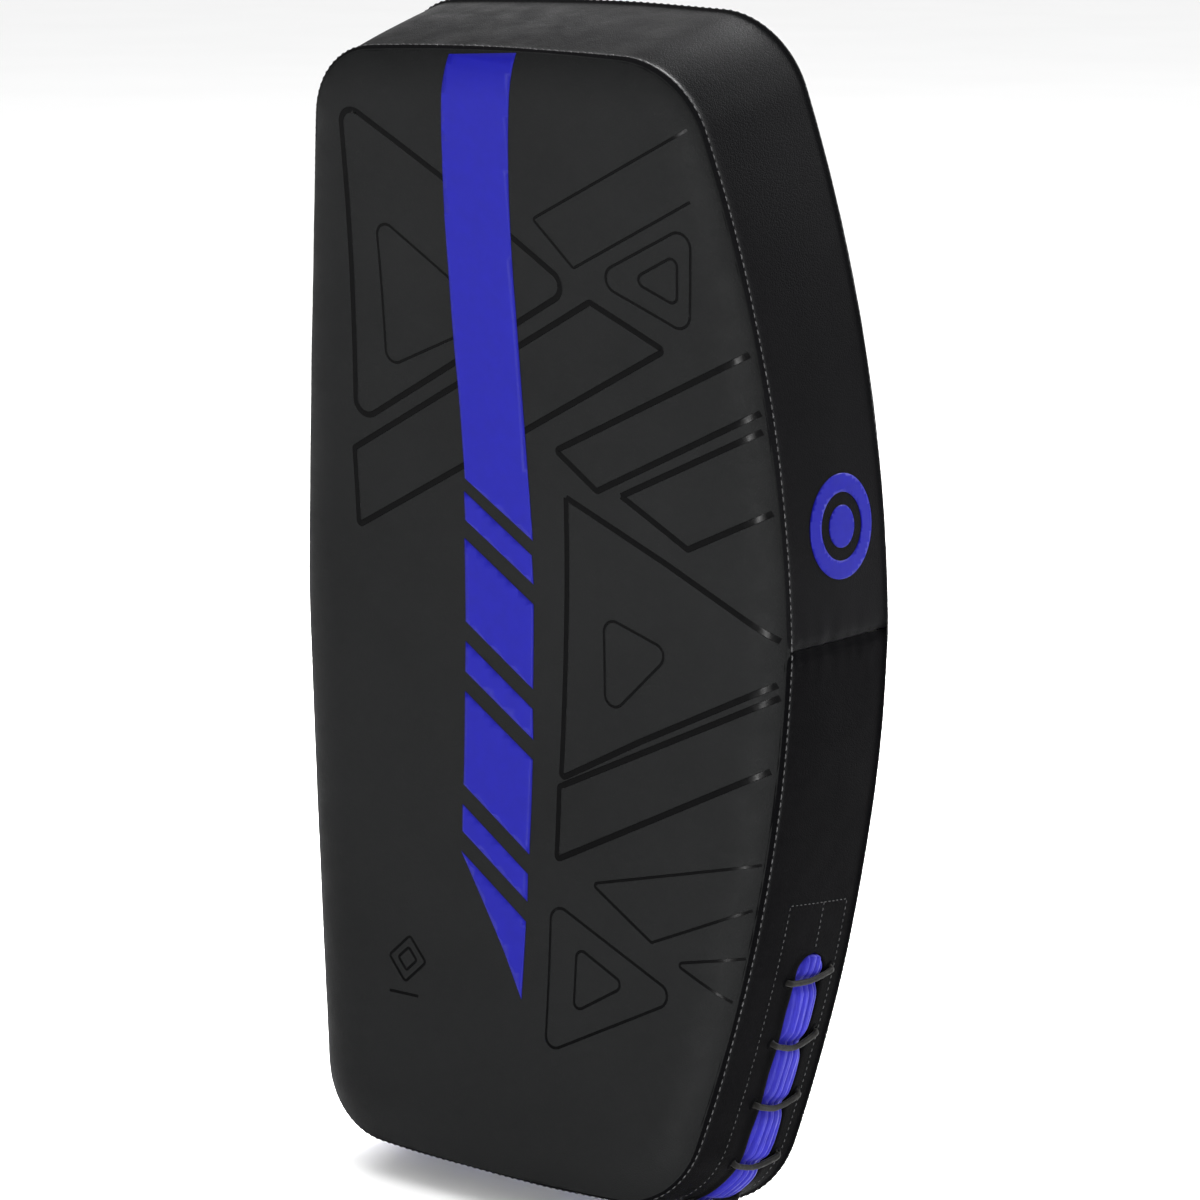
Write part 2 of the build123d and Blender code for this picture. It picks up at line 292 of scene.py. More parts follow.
def leatherFinish(name, tone, rough, shine):
    f = Finish(name, tones[tone], rough, shine)
    patchy = f.noise(9.0, 4.0, 0.55)
    f.tint(patchy, 0.86, 1.14)
    f.speckle(60.0, rough - 0.07, rough + 0.07, 5.0, 0.6)
    pores = f.spread(f.cells(1000.0), 0.0, 1.0, 0.0, 0.6)
    grain = f.noise(900.0, 4.0, 0.65)
    coarse = f.bump(f.noise(34.0, 3.0, 0.5), 0.12, 0.0012)
    fine = f.bump(pores, 0.5, 0.0002, coarse)
    f.relief(f.bump(grain, 0.40, 0.00014, fine))
    return f.material


def inkFinish(name, tone, rough, shine):
    f = Finish(name, tones[tone], rough, shine)
    f.tint(f.noise(120.0, 4.0, 0.6), 0.92, 1.08)
    f.speckle(260.0, rough - 0.05, rough + 0.06)
    f.relief(f.bump(f.noise(700.0, 3.0, 0.6), 0.16, 0.0001))
    return f.material


def clothFinish(name, tone, threads, rough, sheen):
    # over and under threads from two crossed waves
    f = Finish(name, tones[tone], rough, 0.12)
    f.tint(f.noise(40.0, 4.0, 0.6), 0.8, 1.2)
    f.speckle(200.0, rough - 0.06, rough + 0.08)
    waves = [f.add("TexWave", {"Vector": f.where, "Scale": threads, "Distortion": 0.6, "Detail": 1.0},
                   bands_direction=direction).outputs["Fac"] for direction in ("X", "Z")]
    weave = f.add("Math", {0: waves[0], 1: waves[1]}, operation="MULTIPLY").outputs[0]
    f.relief(f.bump(weave, 0.35, 0.0002))
    f.shader.inputs["Sheen Weight"].default_value = sheen
    f.shader.inputs["Sheen Roughness"].default_value = 0.4
    return f.material


def cordFinish(name, tone):
    f = Finish(name, tones[tone], 0.62, 0.05)
    f.tint(f.noise(300.0), 0.6, 1.5)
    f.speckle(500.0, 0.5, 0.72, 2.0)
    f.relief(f.bump(f.cells(1400.0), 0.4, 0.0002))
    f.shader.inputs["Sheen Weight"].default_value = 0.03
    return f.material


def pileFinish(name, tone, size, rough):
    # loops or hooks, standing close together
    f = Finish(name, tones[tone], rough, 0.1)
    tufts = f.cells(size)
    f.tint(tufts, 1.5, 0.5)
    f.speckle(400.0, rough - 0.08, rough + 0.05, 2.0)
    f.relief(f.bump(tufts, 0.8, 0.0006))
    return f.material


def foamFinish(name, tone):
    f = Finish(name, tones[tone], 0.9, 0.15)
    f.tint(f.noise(90.0, 5.0, 0.7), 0.85, 1.05)
    f.speckle(150.0, 0.82, 0.95, 2.0)
    f.relief(f.bump(f.cells(900.0), 0.5, 0.0004))
    return f.material


finishes = {
    "cover": leatherFinish("coverLeather", "cover", 0.50, 0.035),
    "side": leatherFinish("sideLeather", "side", 0.44, 0.006),
    # the darker copy of the side leather: painted shade for the lower wall
    "shadedLowerSide": leatherFinish("shadedLowerSideLeather", "shadedLowerSide", 0.44, 0.003),
    "strap": leatherFinish("strapLeather", "strap", 0.48, 0.09),
    "blue": inkFinish("blueInk", "blue", 0.5, 0.08),
    "badge": inkFinish("badgeInk", "blue", 0.5, 0.05),
    "black": inkFinish("glossInk", "inkBlack", 0.20, 0.03),
    "thread": cordFinish("sewingThread", "thread"),
    "cord": cordFinish("laceBraid", "cord"),
    "lining": clothFinish("blueLining", "lining", 420.0, 0.6, 0.05),
    "webbing": clothFinish("webbingWeave", "webbing", 300.0, 0.7, 0.1),
    "mesh": pileFinish("spacerMesh", "mesh", 420.0, 0.8),
    "loop": pileFinish("loopPile", "tape", 900.0, 0.9),
    "hook": pileFinish("hookRows", "tape", 620.0, 0.45),
    "softFoam": foamFinish("openFoam", "softFoam"),
    "firmFoam": foamFinish("closedFoam", "firmFoam"),
}
print("finishes ready")


# Mesh helpers
def smoothLine(points, per=6):
    # a smooth curve through all the points
    p = np.vstack([2 * points[0] - points[1], points, 2 * points[-1] - points[-2]])
    out = []
    for k in range(1, len(p) - 2):
        a, b, c, d = p[k - 1], p[k], p[k + 1], p[k + 2]
        for t in np.arange(per) / per:
            out.append(0.5 * (2 * b + (c - a) * t + (2 * a - 5 * b + 4 * c - d) * t ** 2
                              + (3 * b - a - 3 * c + d) * t ** 3))
    out.append(points[-1])
    return np.array(out)


def makePiece(name, points, faces, finish):
    mesh = bpy.data.meshes.new(name)
    mesh.from_pydata([tuple(p) for p in points], [], [tuple(f) for f in faces])
    mesh.validate()
    mesh.polygons.foreach_set("use_smooth", [True] * len(mesh.polygons))
    mesh.materials.append(finishes[finish])
    piece = bpy.data.objects.new(name, mesh)
    bpy.context.collection.objects.link(piece)
    return piece


def gridFaces(rows, columns, wrap=False, first=0, flip=False):
    faces = []
    for r in range(rows - 1):
        for c in range(columns if wrap else columns - 1):
            d = (c + 1) % columns
            quad = (first + r * columns + c, first + r * columns + d,
                    first + (r + 1) * columns + d, first + (r + 1) * columns + c)
            faces.append(quad[::-1] if flip else quad)
    return faces


def weld(piece, distance=0.00002):
    form = bmesh.new()
    form.from_mesh(piece.data)
    bmesh.ops.remove_doubles(form, verts=form.verts, dist=distance)
    bmesh.ops.recalc_face_normals(form, faces=form.faces)
    form.to_mesh(piece.data)
    form.free()
    return piece


# Strike face and back: a rolled edge, then a nearly flat field
faceShape = {"seamDepth": 3.6, "crown": 6.4, "roll": 30.0, "unevenness": 0.35, "patch": 70.0, "seed": 3.1}
backShape = {"seamDepth": 2.5, "crown": 2.5, "roll": 26.0, "unevenness": 0.2, "patch": 60.0, "seed": 8.4}
rimRings = {"near": [-0.2, 0.4, 1.0, 1.8], "from": 2.8, "to": 36, "count": 26, "field": (0.94, 0.04),
            "fieldDepth": 100, "pucker": 0.22, "puckerReach": 9.0}


def rollOff(edge, width):
    part = np.clip(edge / width, 0, 1)
    return (1 - (1 - part) ** 2.4) ** 0.8


def crownOf(shape, x, arc, edge):
    # the rise off the seam, and the unevenness, which fades out towards the rim
    uneven = shape["unevenness"] * ripple(x, arc, shape["patch"], shape["seed"]) * np.clip(edge / 60, 0, 1)
    return shape["crown"] * rollOff(edge, shape["roll"]), uneven


def faceDepth(x, arc, edge):
    rise, uneven = crownOf(faceShape, x, arc, edge)
    return faceShape["seamDepth"] - rise + uneven


def backDepth(x, arc, edge):
    rise, uneven = crownOf(backShape, x, arc, edge)
    return pad["thickness"] - backShape["seamDepth"] + rise - np.abs(uneven)


def padRings(line, depthOf, seamDrop):
    # rings from the seam to the middle, as places across and along
    reach, count = rimRings["to"], rimRings["count"]
    insets = np.concatenate([rimRings["near"], np.linspace(rimRings["from"], reach, count)])
    rings, edges = [], []
    for inset in insets:
        rings.append(line - outward * inset)
        edges.append(np.full(around, max(inset, 0)))
    last = rings[-1]
    for share in np.linspace(*rimRings["field"], count):
        rings.append(last * share)
        edges.append(np.full(around, reach + rimRings["fieldDepth"] * (1 - share)))
    place, edge = np.array(rings), np.array(edges)
    depth = depthOf(place[..., 0], place[..., 1], edge)
    pucker = rimRings["pucker"] * ripple(rimRun[:-1][None, :], edge * 0.4, 9.0, 5.5)
    depth += pucker * np.exp(-edge / rimRings["puckerReach"])
    depth[0] += seamDrop
    return place, depth


def padField(name, line, depthOf, seamDrop):
    place, depth = padRings(line, depthOf, seamDrop)
    rows = len(place)
    points = bend(place[..., 0], place[..., 1], depth).reshape(-1, 3)
    middle = place[-1].mean(0)
    points = np.vstack([points, bend(middle[0], middle[1], depth[-1].mean())])
    faces = gridFaces(rows, around, True)
    start = (rows - 1) * around
    faces += [(start + c, start + (c + 1) % around, len(points) - 1) for c in range(around)]
    return weld(makePiece(name, points, faces, "cover"))


faceCover = padField("faceCover", frontLine, faceDepth, 2.2)
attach(faceCover, "pad")
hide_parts("front_panel")
backCover = padField("backCover", backLine, backDepth, -2.2)
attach(backCover, "pad")
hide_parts("back_panel")
print("face and back ready")

# Side wall: upper length plain, lower length with the lace-up slit
wall = {"start": 2.6, "lip": 1.1, "belly": 1.6, "unevenness": 0.45, "midPull": 1.9, "gap": 0.25,
        "hem": [(-5.0, 3.3), (-1.5, 3.2), (0.2, 2.6), (0.35, 1.5)]}      # reach and drop of the turned edge
slit = {
    "depth": 63.0,
    "halfWidth": 12.5,
    "topArc": -176.0,
    "pitch": 35.9,          # the part's own lace rows
    "firstRow": 16.0,
    "rows": 15,
    "rise": 6.5,
    "spread": 19.0,
}


def runAtArc(arc, left=False):
    # the run round the rim where the lower side wall passes a height along the bend
    piece = slice(leftMiddle, footMiddle) if left else slice(footMiddle, around)
    runs, arcs = rimRun[:-1][piece], frontLine[piece, 1]
    order = np.argsort(arcs)
    return float(np.interp(arc, arcs[order], runs[order]))


slitEnd = runAtArc(slit["topArc"])                  # right-hand end of the slit
slitStart = runAtArc(slit["topArc"], left=True)


def slitHalfWidth(run):
    # nothing above the round ends, then the full width, a little less at each lace bar
    inside = np.minimum(slitEnd - run, run - slitStart)
    radius = slit["halfWidth"]
    part = np.clip(inside, 0, radius)
    width = np.sqrt(np.clip(radius ** 2 - (radius - part) ** 2, 0, None))
    bars = np.cos(2 * math.pi * (inside - slit["firstRow"]) / slit["pitch"])
    wander = 0.4 * ripple(run, 0 * run, 24.0, 2.7)
    return np.where(inside > 0, np.maximum(width - (0.5 * bars + wander) * part / radius, 0.0), 0.0)


def wallOut(run, depth):
    # how far the leather stands out of the plain wall
    near = np.minimum(depth - 1.2, pad["thickness"] - depth)
    lip = wall["lip"] * (np.exp(-((near - 4.6) / 2.0) ** 2) - 1.1 * np.exp(-((near - 1.2) / 1.3) ** 2))
    belly = wall["belly"] * np.sin(math.pi * np.clip(depth / pad["thickness"], 0, 1)) ** 0.7
    uneven = wall["unevenness"] * ripple(run, depth, 55.0, 6.6)
    return lip + belly + uneven - 0.6


def midPull(run, depth, seam):
    # the two lengths are drawn in where they are sewn, in short folds
    away = np.abs((run - seam + rimLength / 2) % rimLength - rimLength / 2)
    folds = 0.75 * ripple(depth, away * 0.35, 7.5, 4.2 + seam * 0.001) * np.exp(-away / 11.0)
    return folds - wall["midPull"] * np.exp(-(away / 3.4) ** 1.4)


def wallGrid(runs, depths):
    out = wallOut(runs, depths)
    for seam in (0.0, rimRun[leftMiddle]):
        out = out + midPull(runs, depths, seam)
    return out


def upperSide():
    runs = np.linspace(wall["gap"], rimRun[leftMiddle] - wall["gap"], 4 * pad["columns"] + 1)
    depths = np.concatenate([np.linspace(wall["start"], 9, 14), np.linspace(11, 89, 34),
                             np.linspace(91, 99, 14)])
    run, depth = np.meshgrid(runs, depths)
    points = wallPoint(run, depth, wallGrid(run, depth))
    return makePiece("upperSide", points.reshape(-1, 3), gridFaces(len(depths), len(runs), flip=True),
                     "side")


def shadedLowerSide():
    runs = np.linspace(rimRun[leftMiddle] + wall["gap"], rimLength - wall["gap"], 4 * pad["columns"] + 1)
    half = slitHalfWidth(runs)
    points, faces = [], []
    for side in (-1, 1):
        near = np.concatenate([np.linspace(0, 0.12, 5), np.linspace(0.16, 0.86, 22),
                               np.linspace(0.88, 1, 12)])
        edge = slit["depth"] + side * half
        rim = wall["start"] if side < 0 else pad["thickness"] - 1.0
        depth = edge[None, :] + (rim - edge)[None, :] * near[:, None]
        run = np.broadcast_to(runs, depth.shape)
        out = wallGrid(run, depth)
        # the cut edge is turned in and drawn up a little beside the slit
        opened = np.clip(half / slit["halfWidth"], 0, 1)[None, :]
        fromEdge = np.abs(depth - edge[None, :])
        drawn = 0.9 if side < 0 else 0.1
        out = out + opened * (drawn * np.exp(-(fromEdge - 3.0) ** 2 / 9.0) - 1.0 * np.exp(-fromEdge / 0.8))
        turned = [wallPoint(runs, edge - side * reach * opened[0], out[0] - down * opened[0])
                  for reach, down in wall["hem"]]
        grid = np.concatenate([np.array(turned), wallPoint(run, depth, out)])
        first = len(points)
        points += list(grid.reshape(-1, 3))
        faces += gridFaces(len(grid), len(runs), first=first, flip=side > 0)
    # the lower length takes the darker copy of the side leather: painted shade
    return weld(makePiece("shadedLowerSide", points, faces, "shadedLowerSide"))


upper = upperSide()
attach(upper, "pad")
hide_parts("upper_gusset")
lower = shadedLowerSide()
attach(lower, "pad")
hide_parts("lower_gusset")
print("side wall ready")


# Filling: four foam layers, grooved round the foot where the lining and lace lie
foamLayers = {
    "face_foam": {"from": 1.3, "to": 11.3, "finish": "softFoam", "slot": "soft_foam"},
    "impact_foam": {"from": 11.6, "to": 45.6, "finish": "firmFoam", "slot": "firm_foam"},
    "core_foam": {"from": 45.9, "to": 85.9, "finish": "firmFoam", "slot": "firm_foam"},
    "back_foam": {"from": 86.2, "to": 98.7, "finish": "softFoam", "slot": "soft_foam"},
}
foamFit = {"inset": 5.5, "groove": 15.0, "edge": 2.0, "capInset": 30.0, "band": (25.0, 92.0),
           "grooveTop": -150.0, "fade": 12.0}


def foamInset(depth):
    # deeper in the groove, along the foot only
    low = np.clip((foamFit["grooveTop"] - frontLine[:, 1]) / foamFit["fade"], 0, 1)
    inBand = float(foamFit["band"][0] < depth < foamFit["band"][1])
    return foamFit["inset"] + (foamFit["groove"] - foamFit["inset"]) * low * inBand


def foamLayer(node, layer):
    start, end = layer["from"] + 1.2, layer["to"] - 0.3
    if node == "face_foam":
        start += 2.6
    if node == "back_foam":
        end -= 3.6
    levels = [(start, foamFit["capInset"]), (start, foamFit["edge"]), (start + 1.2, 0.0)]
    levels += [(d, 0.0) for d in np.linspace(start + 2.4, end - 2.4, 5)]
    levels += [(end - 1.2, 0.0), (end, foamFit["edge"]), (end, foamFit["capInset"])]
    rings = []
    for depth, extra in levels:
        line = frontLine + (backLine - frontLine) * depth / pad["thickness"]
        place = line - outward * (foamInset(depth) + extra)[:, None]
        if extra == foamFit["capInset"]:
            place = line * 0.5
        rings.append(bend(place[:, 0], place[:, 1], depth))
    points = np.concatenate(rings)
    caps = [bend(0, 0, start), bend(0, 0, end)]
    faces = gridFaces(len(rings), around, True)
    last = (len(rings) - 1) * around
    for c in range(around):
        d = (c + 1) % around
        faces.append((d, c, len(points)))
        faces.append((last + c, last + d, len(points) + 1))
    piece = weld(makePiece(node + "Block", np.vstack([points, caps]), faces, layer["finish"]))
    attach(piece, "pad")
    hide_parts(node)


for node, layer in foamLayers.items():
    foamLayer(node, layer)
print("foam ready")

# Facing inside the slit, a leather band sewn to the wall
facing = {"front": 27.0, "back": 90.0, "topArc": -147.0, "inset": 3.6, "skin": 1.0}


def facingBand():
    runs = np.linspace(runAtArc(facing["topArc"], True), runAtArc(facing["topArc"]), 420)
    half = slitHalfWidth(runs)
    points, faces = [], []
    for side, far in ((-1, facing["front"]), (1, facing["back"])):
        edge = slit["depth"] + side * half
        share = np.linspace(0, 1, 8)[:, None]
        depth = edge + (far - edge) * share
        run = np.broadcast_to(runs, depth.shape)
        over = wallPoint(run, depth, -facing["inset"] + 0 * depth)
        under = wallPoint(run, depth, -facing["inset"] - facing["skin"] + 0 * depth)
        grid = np.concatenate([over, under[::-1]])
        first = len(points)
        points += list(grid.reshape(-1, 3))
        faces += gridFaces(len(grid), len(runs), first=first, flip=side > 0)
    # the facing takes the darker copy of the side leather: painted shade
    return weld(makePiece("facingBand", points, faces, "shadedLowerSide"))


facingPiece = facingBand()
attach(facingPiece, "pad")
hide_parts("opening_facing")

# Lining: cloth gathered lengthwise that swells up into the slit
liningShape = {"front": 32.0, "back": 90.0, "topArc": -158.0, "low": -5.4, "swell": 8.3,
               "foldSize": 5.4, "fold": 1.7, "pressed": 3.0, "pressWidth": 4.5,
               "backFullness": 5.5, "frontFullness": 2.8}


def liningCloth():
    runs = np.linspace(runAtArc(liningShape["topArc"], True), runAtArc(liningShape["topArc"]), 760)
    depths = np.linspace(liningShape["front"], liningShape["back"], 118)
    run, depth = np.meshgrid(runs, depths)
    half = slitHalfWidth(runs)[None, :]
    off = np.abs(depth - slit["depth"]) / np.maximum(half + 0.6, 1.0)
    # full against the back lip, rounder towards the front one
    fullness = np.where(depth > slit["depth"], liningShape["backFullness"], liningShape["frontFullness"])
    swell = liningShape["swell"] * np.sqrt(np.clip(1 - off ** fullness, 0, 1)) * np.clip(half / 6.0, 0, 1)
    # the cloth is pressed down where the lace crosses it
    inside = np.minimum(slitEnd - run, run - slitStart)
    step = slit["pitch"]
    fromBar = np.mod(inside - slit["firstRow"] + step / 2, step) - step / 2
    bars = np.exp(-(fromBar / liningShape["pressWidth"]) ** 2)
    swell = swell - liningShape["pressed"] * bars * (half > 0)
    drift = 2.6 * ripple(run, depth * 0.2, 55.0, 1.2) + 0.7 * ripple(run, depth, 18.0, 9.1)
    crease = np.abs(np.sin(math.pi * (depth + drift) / liningShape["foldSize"])) ** 0.5
    small = np.abs(np.sin(math.pi * (depth + 1.6 * drift) / 2.3 + 0.7)) ** 0.6
    folds = liningShape["fold"] * (crease - 0.8) * (0.8 + 0.5 * ripple(run, depth * 2.5, 26.0, 7.3))
    folds = folds + 0.28 * (small - 0.7)
    fine = 0.12 * ripple(run, depth * 4, 5.0, 3.9)
    points = wallPoint(run, depth, liningShape["low"] + swell + folds + fine)
    return makePiece("liningCloth", points.reshape(-1, 3),
                     gridFaces(len(depths), len(runs), flip=True), "lining")


liningPiece = liningCloth()
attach(liningPiece, "pad")
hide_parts("opening_lining")

# Lace: straight bars across the slit, stepping along one edge inside
laceShape = {"radius": 1.75, "inside": -3.2, "outside": 2.9, "slack": 0.9, "tail": 14.0, "sag": 1.5,
             "sides": 12, "twist": 1.9, "braid": 0.10}


def laceRoute():
    route = []
    for row in range(slit["rows"]):
        run = slitEnd - slit["firstRow"] - row * slit["pitch"]
        frontHole = (run, slit["depth"] - slit["spread"])
        backHole = (run + slit["rise"], slit["depth"] + slit["spread"])
        first, last = (frontHole, backHole) if row % 2 == 0 else (backHole, frontHole)
        if row > 0:
            before = (first[0] + slit["pitch"] / 2, first[1])
            route.append((*before, laceShape["inside"] - laceShape["slack"] - 2.0))
        sag = laceShape["sag"] * (1 + noise.noise(Vector((row * 2.9, 1.1, 7.7))))
        route.append((*first, laceShape["inside"]))
        route.append((*first, laceShape["outside"] - 0.7))
        for part in (0.14, 0.5, 0.86):
            run = first[0] + (last[0] - first[0]) * part
            across = first[1] + (last[1] - first[1]) * part
            pull = math.sin(math.pi * part)
            route.append((run - sag * pull * 2.2, across, laceShape["outside"] + 0.5 * pull))
        route.append((*last, laceShape["outside"] - 0.7))
        route.append((*last, laceShape["inside"]))
    return route


def tubeAlong(name, line, radius, finish):
    # a round cord with crossed strands in its surface
    sides, twist = laceShape["sides"], laceShape["twist"]
    points, faces = [], []
    way = np.gradient(line, axis=0)
    way /= np.linalg.norm(way, axis=1)[:, None]
    side = np.cross(way[0], [0.3, 0.5, 0.81])
    run = runOf(line)
    for k, (place, ahead) in enumerate(zip(line, way)):
        side = side - ahead * side.dot(ahead)
        side /= np.linalg.norm(side)
        third = np.cross(ahead, side)
        for s in range(sides):
            turn = 2 * math.pi * s / sides
            strands = math.sin(3 * turn + run[k] / mm * twist) * math.sin(3 * turn - run[k] / mm * twist)
            size = radius * (1 + laceShape["braid"] * strands)
            points.append(place + side * math.cos(turn) * size + third * math.sin(turn) * size)
    faces = gridFaces(len(line), sides, True)
    for base, order in ((0, -1), ((len(line) - 1) * sides, 1)):
        faces.append(tuple(range(base, base + sides))[::order])
    return weld(makePiece(name, points, faces, finish), 0.000001)


route = laceRoute()
route.insert(0, (route[0][0], route[0][1] + laceShape["tail"], laceShape["inside"]))
route.append((route[-1][0], route[-1][1] - laceShape["tail"], laceShape["inside"]))
lacePlaces = np.array([wallPoint(np.array(r), np.array(d), np.array(o)) for r, d, o in route])
lacePiece = tubeAlong("laceCord", smoothLine(lacePlaces), laceShape["radius"] * mm, "cord")
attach(lacePiece, "pad")
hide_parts("lace")

# each lace hole has a drawn-up rim of leather, and a black disc in its mouth: painted shade for the dark
# inside of the hole
holeShape = {
    "mouth": 2.3,
    "height": 0.75,
    "rims": [(0.95, 0.02), (1.0, 0.35), (1.14, 0.75), (1.32, 0.8), (1.55, 0.45), (1.8, 0.12),
             (1.95, -0.25)],
    "shadeDiscs": [(0.02, 0.10), (0.5, 0.10), (1.08, 0.12), (1.12, -0.2)],
}


def laceHoles():
    # the hole rims take the darker copy of the side leather: painted shade
    for label, profile, finish in (("laceHoleRims", holeShape["rims"], "shadedLowerSide"),
                                   ("laceHoleShadeDiscs", holeShape["shadeDiscs"], "black")):
        points, faces = [], []
        turns = np.linspace(0, 2 * math.pi, 20, endpoint=False)
        for row in range(slit["rows"]):
            run = slitEnd - slit["firstRow"] - row * slit["pitch"]
            for r, d in ((run, slit["depth"] - slit["spread"]),
                         (run + slit["rise"], slit["depth"] + slit["spread"])):
                first = len(points)
                for share, rise in profile:
                    size = holeShape["mouth"] * share * (1 + 0.07 * np.sin(3 * turns + row + d))
                    rr, dd = r + size * np.cos(turns), d + size * np.sin(turns)
                    lift = holeShape["height"] * rise if finish == "shadedLowerSide" else rise
                    points += list(wallPoint(rr, dd, wallOut(rr, dd) + lift))
                faces += gridFaces(len(profile), len(turns), True, first=first)
        piece = weld(makePiece(label, points, faces, finish), 0.000002)
        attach(piece, "pad")


laceHoles()
print("opening ready")


# Sewing: every stitch is a short raised thread, sunk at its ends
def sewRow(name, line, out, body, length, pitch, radius=0.32, slot="strap_leather"):
    run = runOf(line) / mm
    count = max(2, int(round(run[-1] / pitch)))
    starts = (np.arange(count) + 0.5) * run[-1] / count
    out = np.broadcast_to(out, line.shape)
    points, faces = [], []
    rings, sides = 5, 6         # of each thread
    for start in starts:
        middle = len(points)
        for k in range(rings):
            along = start + (k / (rings - 1) - 0.5) * length
            place, up = pick(along, run, line), pick(along, run, out)
            ahead = pick(along + 0.3, run, line) - pick(along - 0.3, run, line)
            ahead = ahead / max(np.linalg.norm(ahead), 1e-9)
            across = np.cross(ahead, up)
            arch = 1 - (2 * k / (rings - 1) - 1) ** 2
            thick = radius * mm * (0.45 + 0.55 * arch ** 0.5)
            centre = place + up * mm * (arch * 0.30 - 0.22)
            for s in range(sides):
                turn = 2 * math.pi * s / sides
                points.append(centre + across * math.cos(turn) * thick + up * math.sin(turn) * thick)
        faces += gridFaces(rings, sides, True, first=middle)
        faces.append(tuple(range(middle + sides - 1, middle - 1, -1)))
        faces.append(tuple(range(middle + (rings - 1) * sides, middle + rings * sides)))
    piece = makePiece(name, points, faces, "thread")
    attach(piece, body)


def wallRow(name, runs, depths, lift=0.0, **how):
    runs, depths = np.broadcast_arrays(np.asarray(runs, float), np.asarray(depths, float))
    out = wallOut(runs, depths)
    line = wallPoint(runs, depths, out + lift)
    above = wallPoint(runs, depths, out + lift + 1.0)
    sewRow(name, line, (above - line) / mm, "pad", slot="gusset_leather", **how)


lipSewing = {"length": 3.2, "pitch": 4.7, "lift": 0.05}
fineSewing = {"length": 2.4, "pitch": 3.8, "radius": 0.26}
rimSteps = np.linspace(0, rimLength, 1400)
wallRow("frontLipStitches", rimSteps, 5.8, **lipSewing)
wallRow("backLipStitches", rimSteps, pad["thickness"] - 4.6, **lipSewing)
facingRuns = np.linspace(runAtArc(facing["topArc"], True), runAtArc(facing["topArc"]), 700)
sewnFrom, sewnTo = facing["front"] + 4, facing["back"] - 4
wallRow("facingFrontStitches", facingRuns, sewnFrom, **fineSewing)
wallRow("facingBackStitches", facingRuns, sewnTo, **fineSewing)
for side, left in (("Right", False), ("Left", True)):
    wallRow("facingTopStitches" + side, runAtArc(facing["topArc"], left), np.linspace(sewnFrom, sewnTo, 60),
            **fineSewing)
    above = np.linspace(runAtArc(facing["topArc"] + 1, left), runAtArc(slit["topArc"] + 3, left), 20)
    wallRow("slitTopStitches" + side, above, slit["depth"], **fineSewing)
print("wall sewing ready")


# Prints: thin ink laid on the finished cover, found by dropping each point onto it
def surfaceOf(piece):
    places = [v.co.copy() for v in piece.data.vertices]
    return BVHTree.FromPolygons(places, [tuple(p.vertices) for p in piece.data.polygons])


faceTree = surfaceOf(faceCover)
sideTrees = [surfaceOf(upper), surfaceOf(lower)]


def dropOnFace(x, arc, lift):
    start, end = Vector(bend(x, arc, -30)), Vector(bend(x, arc, 40))
    way = (end - start).normalized()
    hit = faceTree.ray_cast(start, way, 0.07)
    return None if hit[0] is None else hit[0] - way * lift * mm


def dropOnSide(run, depth, lift):
    start = Vector(wallPoint(np.array(run), np.array(depth), np.array(20.0)))
    end = Vector(wallPoint(np.array(run), np.array(depth), np.array(-20.0)))
    way = (end - start).normalized()
    for tree in sideTrees:
        hit = tree.ray_cast(start, way, 0.04)
        if hit[0] is not None:
            return hit[0] - way * lift * mm
    return None


def roundCorners(corners, radius, closed, step=2.4):
    # a path with each corner turned on an arc, sampled evenly
    corners = [np.array(c, float) for c in corners]
    count = len(corners)
    line = [] if closed else [corners[0]]
    for k in range(count) if closed else range(1, count - 1):
        arc = cornerArc(corners[k - 1], corners[k], corners[(k + 1) % count], radius, 0.45)
        line += arcPlaces(*arc, 0.8)
    line.append(line[0] if closed else corners[-1])
    line = np.array(line)
    run = runOf(line)
    return pick(np.unique(np.concatenate([run, np.arange(0, run[-1], step)])), run, line)


inkShape = {"lift": 0.07, "sink": 0.08, "seamGap": 0.3, "widest": 177.5,
            "columns": (-0.5, -0.47, -0.4, 0.0, 0.4, 0.47, 0.5)}


def flatRim(mesh):
    # faces at an open edge shade flat, so that the printed top keeps a clean light
    sharing = {}
    for face in mesh.polygons:
        for edge in face.edge_keys:
            sharing[edge] = sharing.get(edge, 0) + 1
    for face in mesh.polygons:
        face.use_smooth = all(sharing[edge] > 1 for edge in face.edge_keys)


def inkLines(name, paths):
    # ribbons along the paths, broken off where they would leave the face
    points, faces = [], []
    for corners, width, radius, closed in paths:
        line = roundCorners(corners, radius, closed)
        way = np.roll(line, -1, 0) - np.roll(line, 1, 0)
        way[0], way[-1] = line[1] - line[0], line[-1] - line[-2]
        if closed:
            way[0] = way[-1] = line[1] - line[-2]
        way /= np.maximum(np.linalg.norm(way, axis=1)[:, None], 1e-9)
        side = np.stack([-way[:, 1], way[:, 0]], -1)
        rowBefore = None
        for place, across in zip(line, side):
            row = []
            if (edgeDistance(place[0], place[1]) > inkShape["seamGap"] + width / 2
                    and abs(place[0]) < inkShape["widest"]):
                for share in inkShape["columns"]:
                    at = place + across * share * width
                    lift = inkShape["lift"] if abs(share) < 0.5 else -inkShape["sink"]
                    row.append(dropOnFace(at[0], at[1], lift))
            if not row or None in row:
                rowBefore = None
                continue
            first = len(points)
            points += row
            if rowBefore is not None:
                faces += [(rowBefore + k, rowBefore + k + 1, first + k + 1, first + k)
                          for k in range(len(row) - 1)]
            rowBefore = first
    piece = weld(makePiece(name, points, faces, "black"))
    flatRim(piece.data)
    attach(piece, "pad")


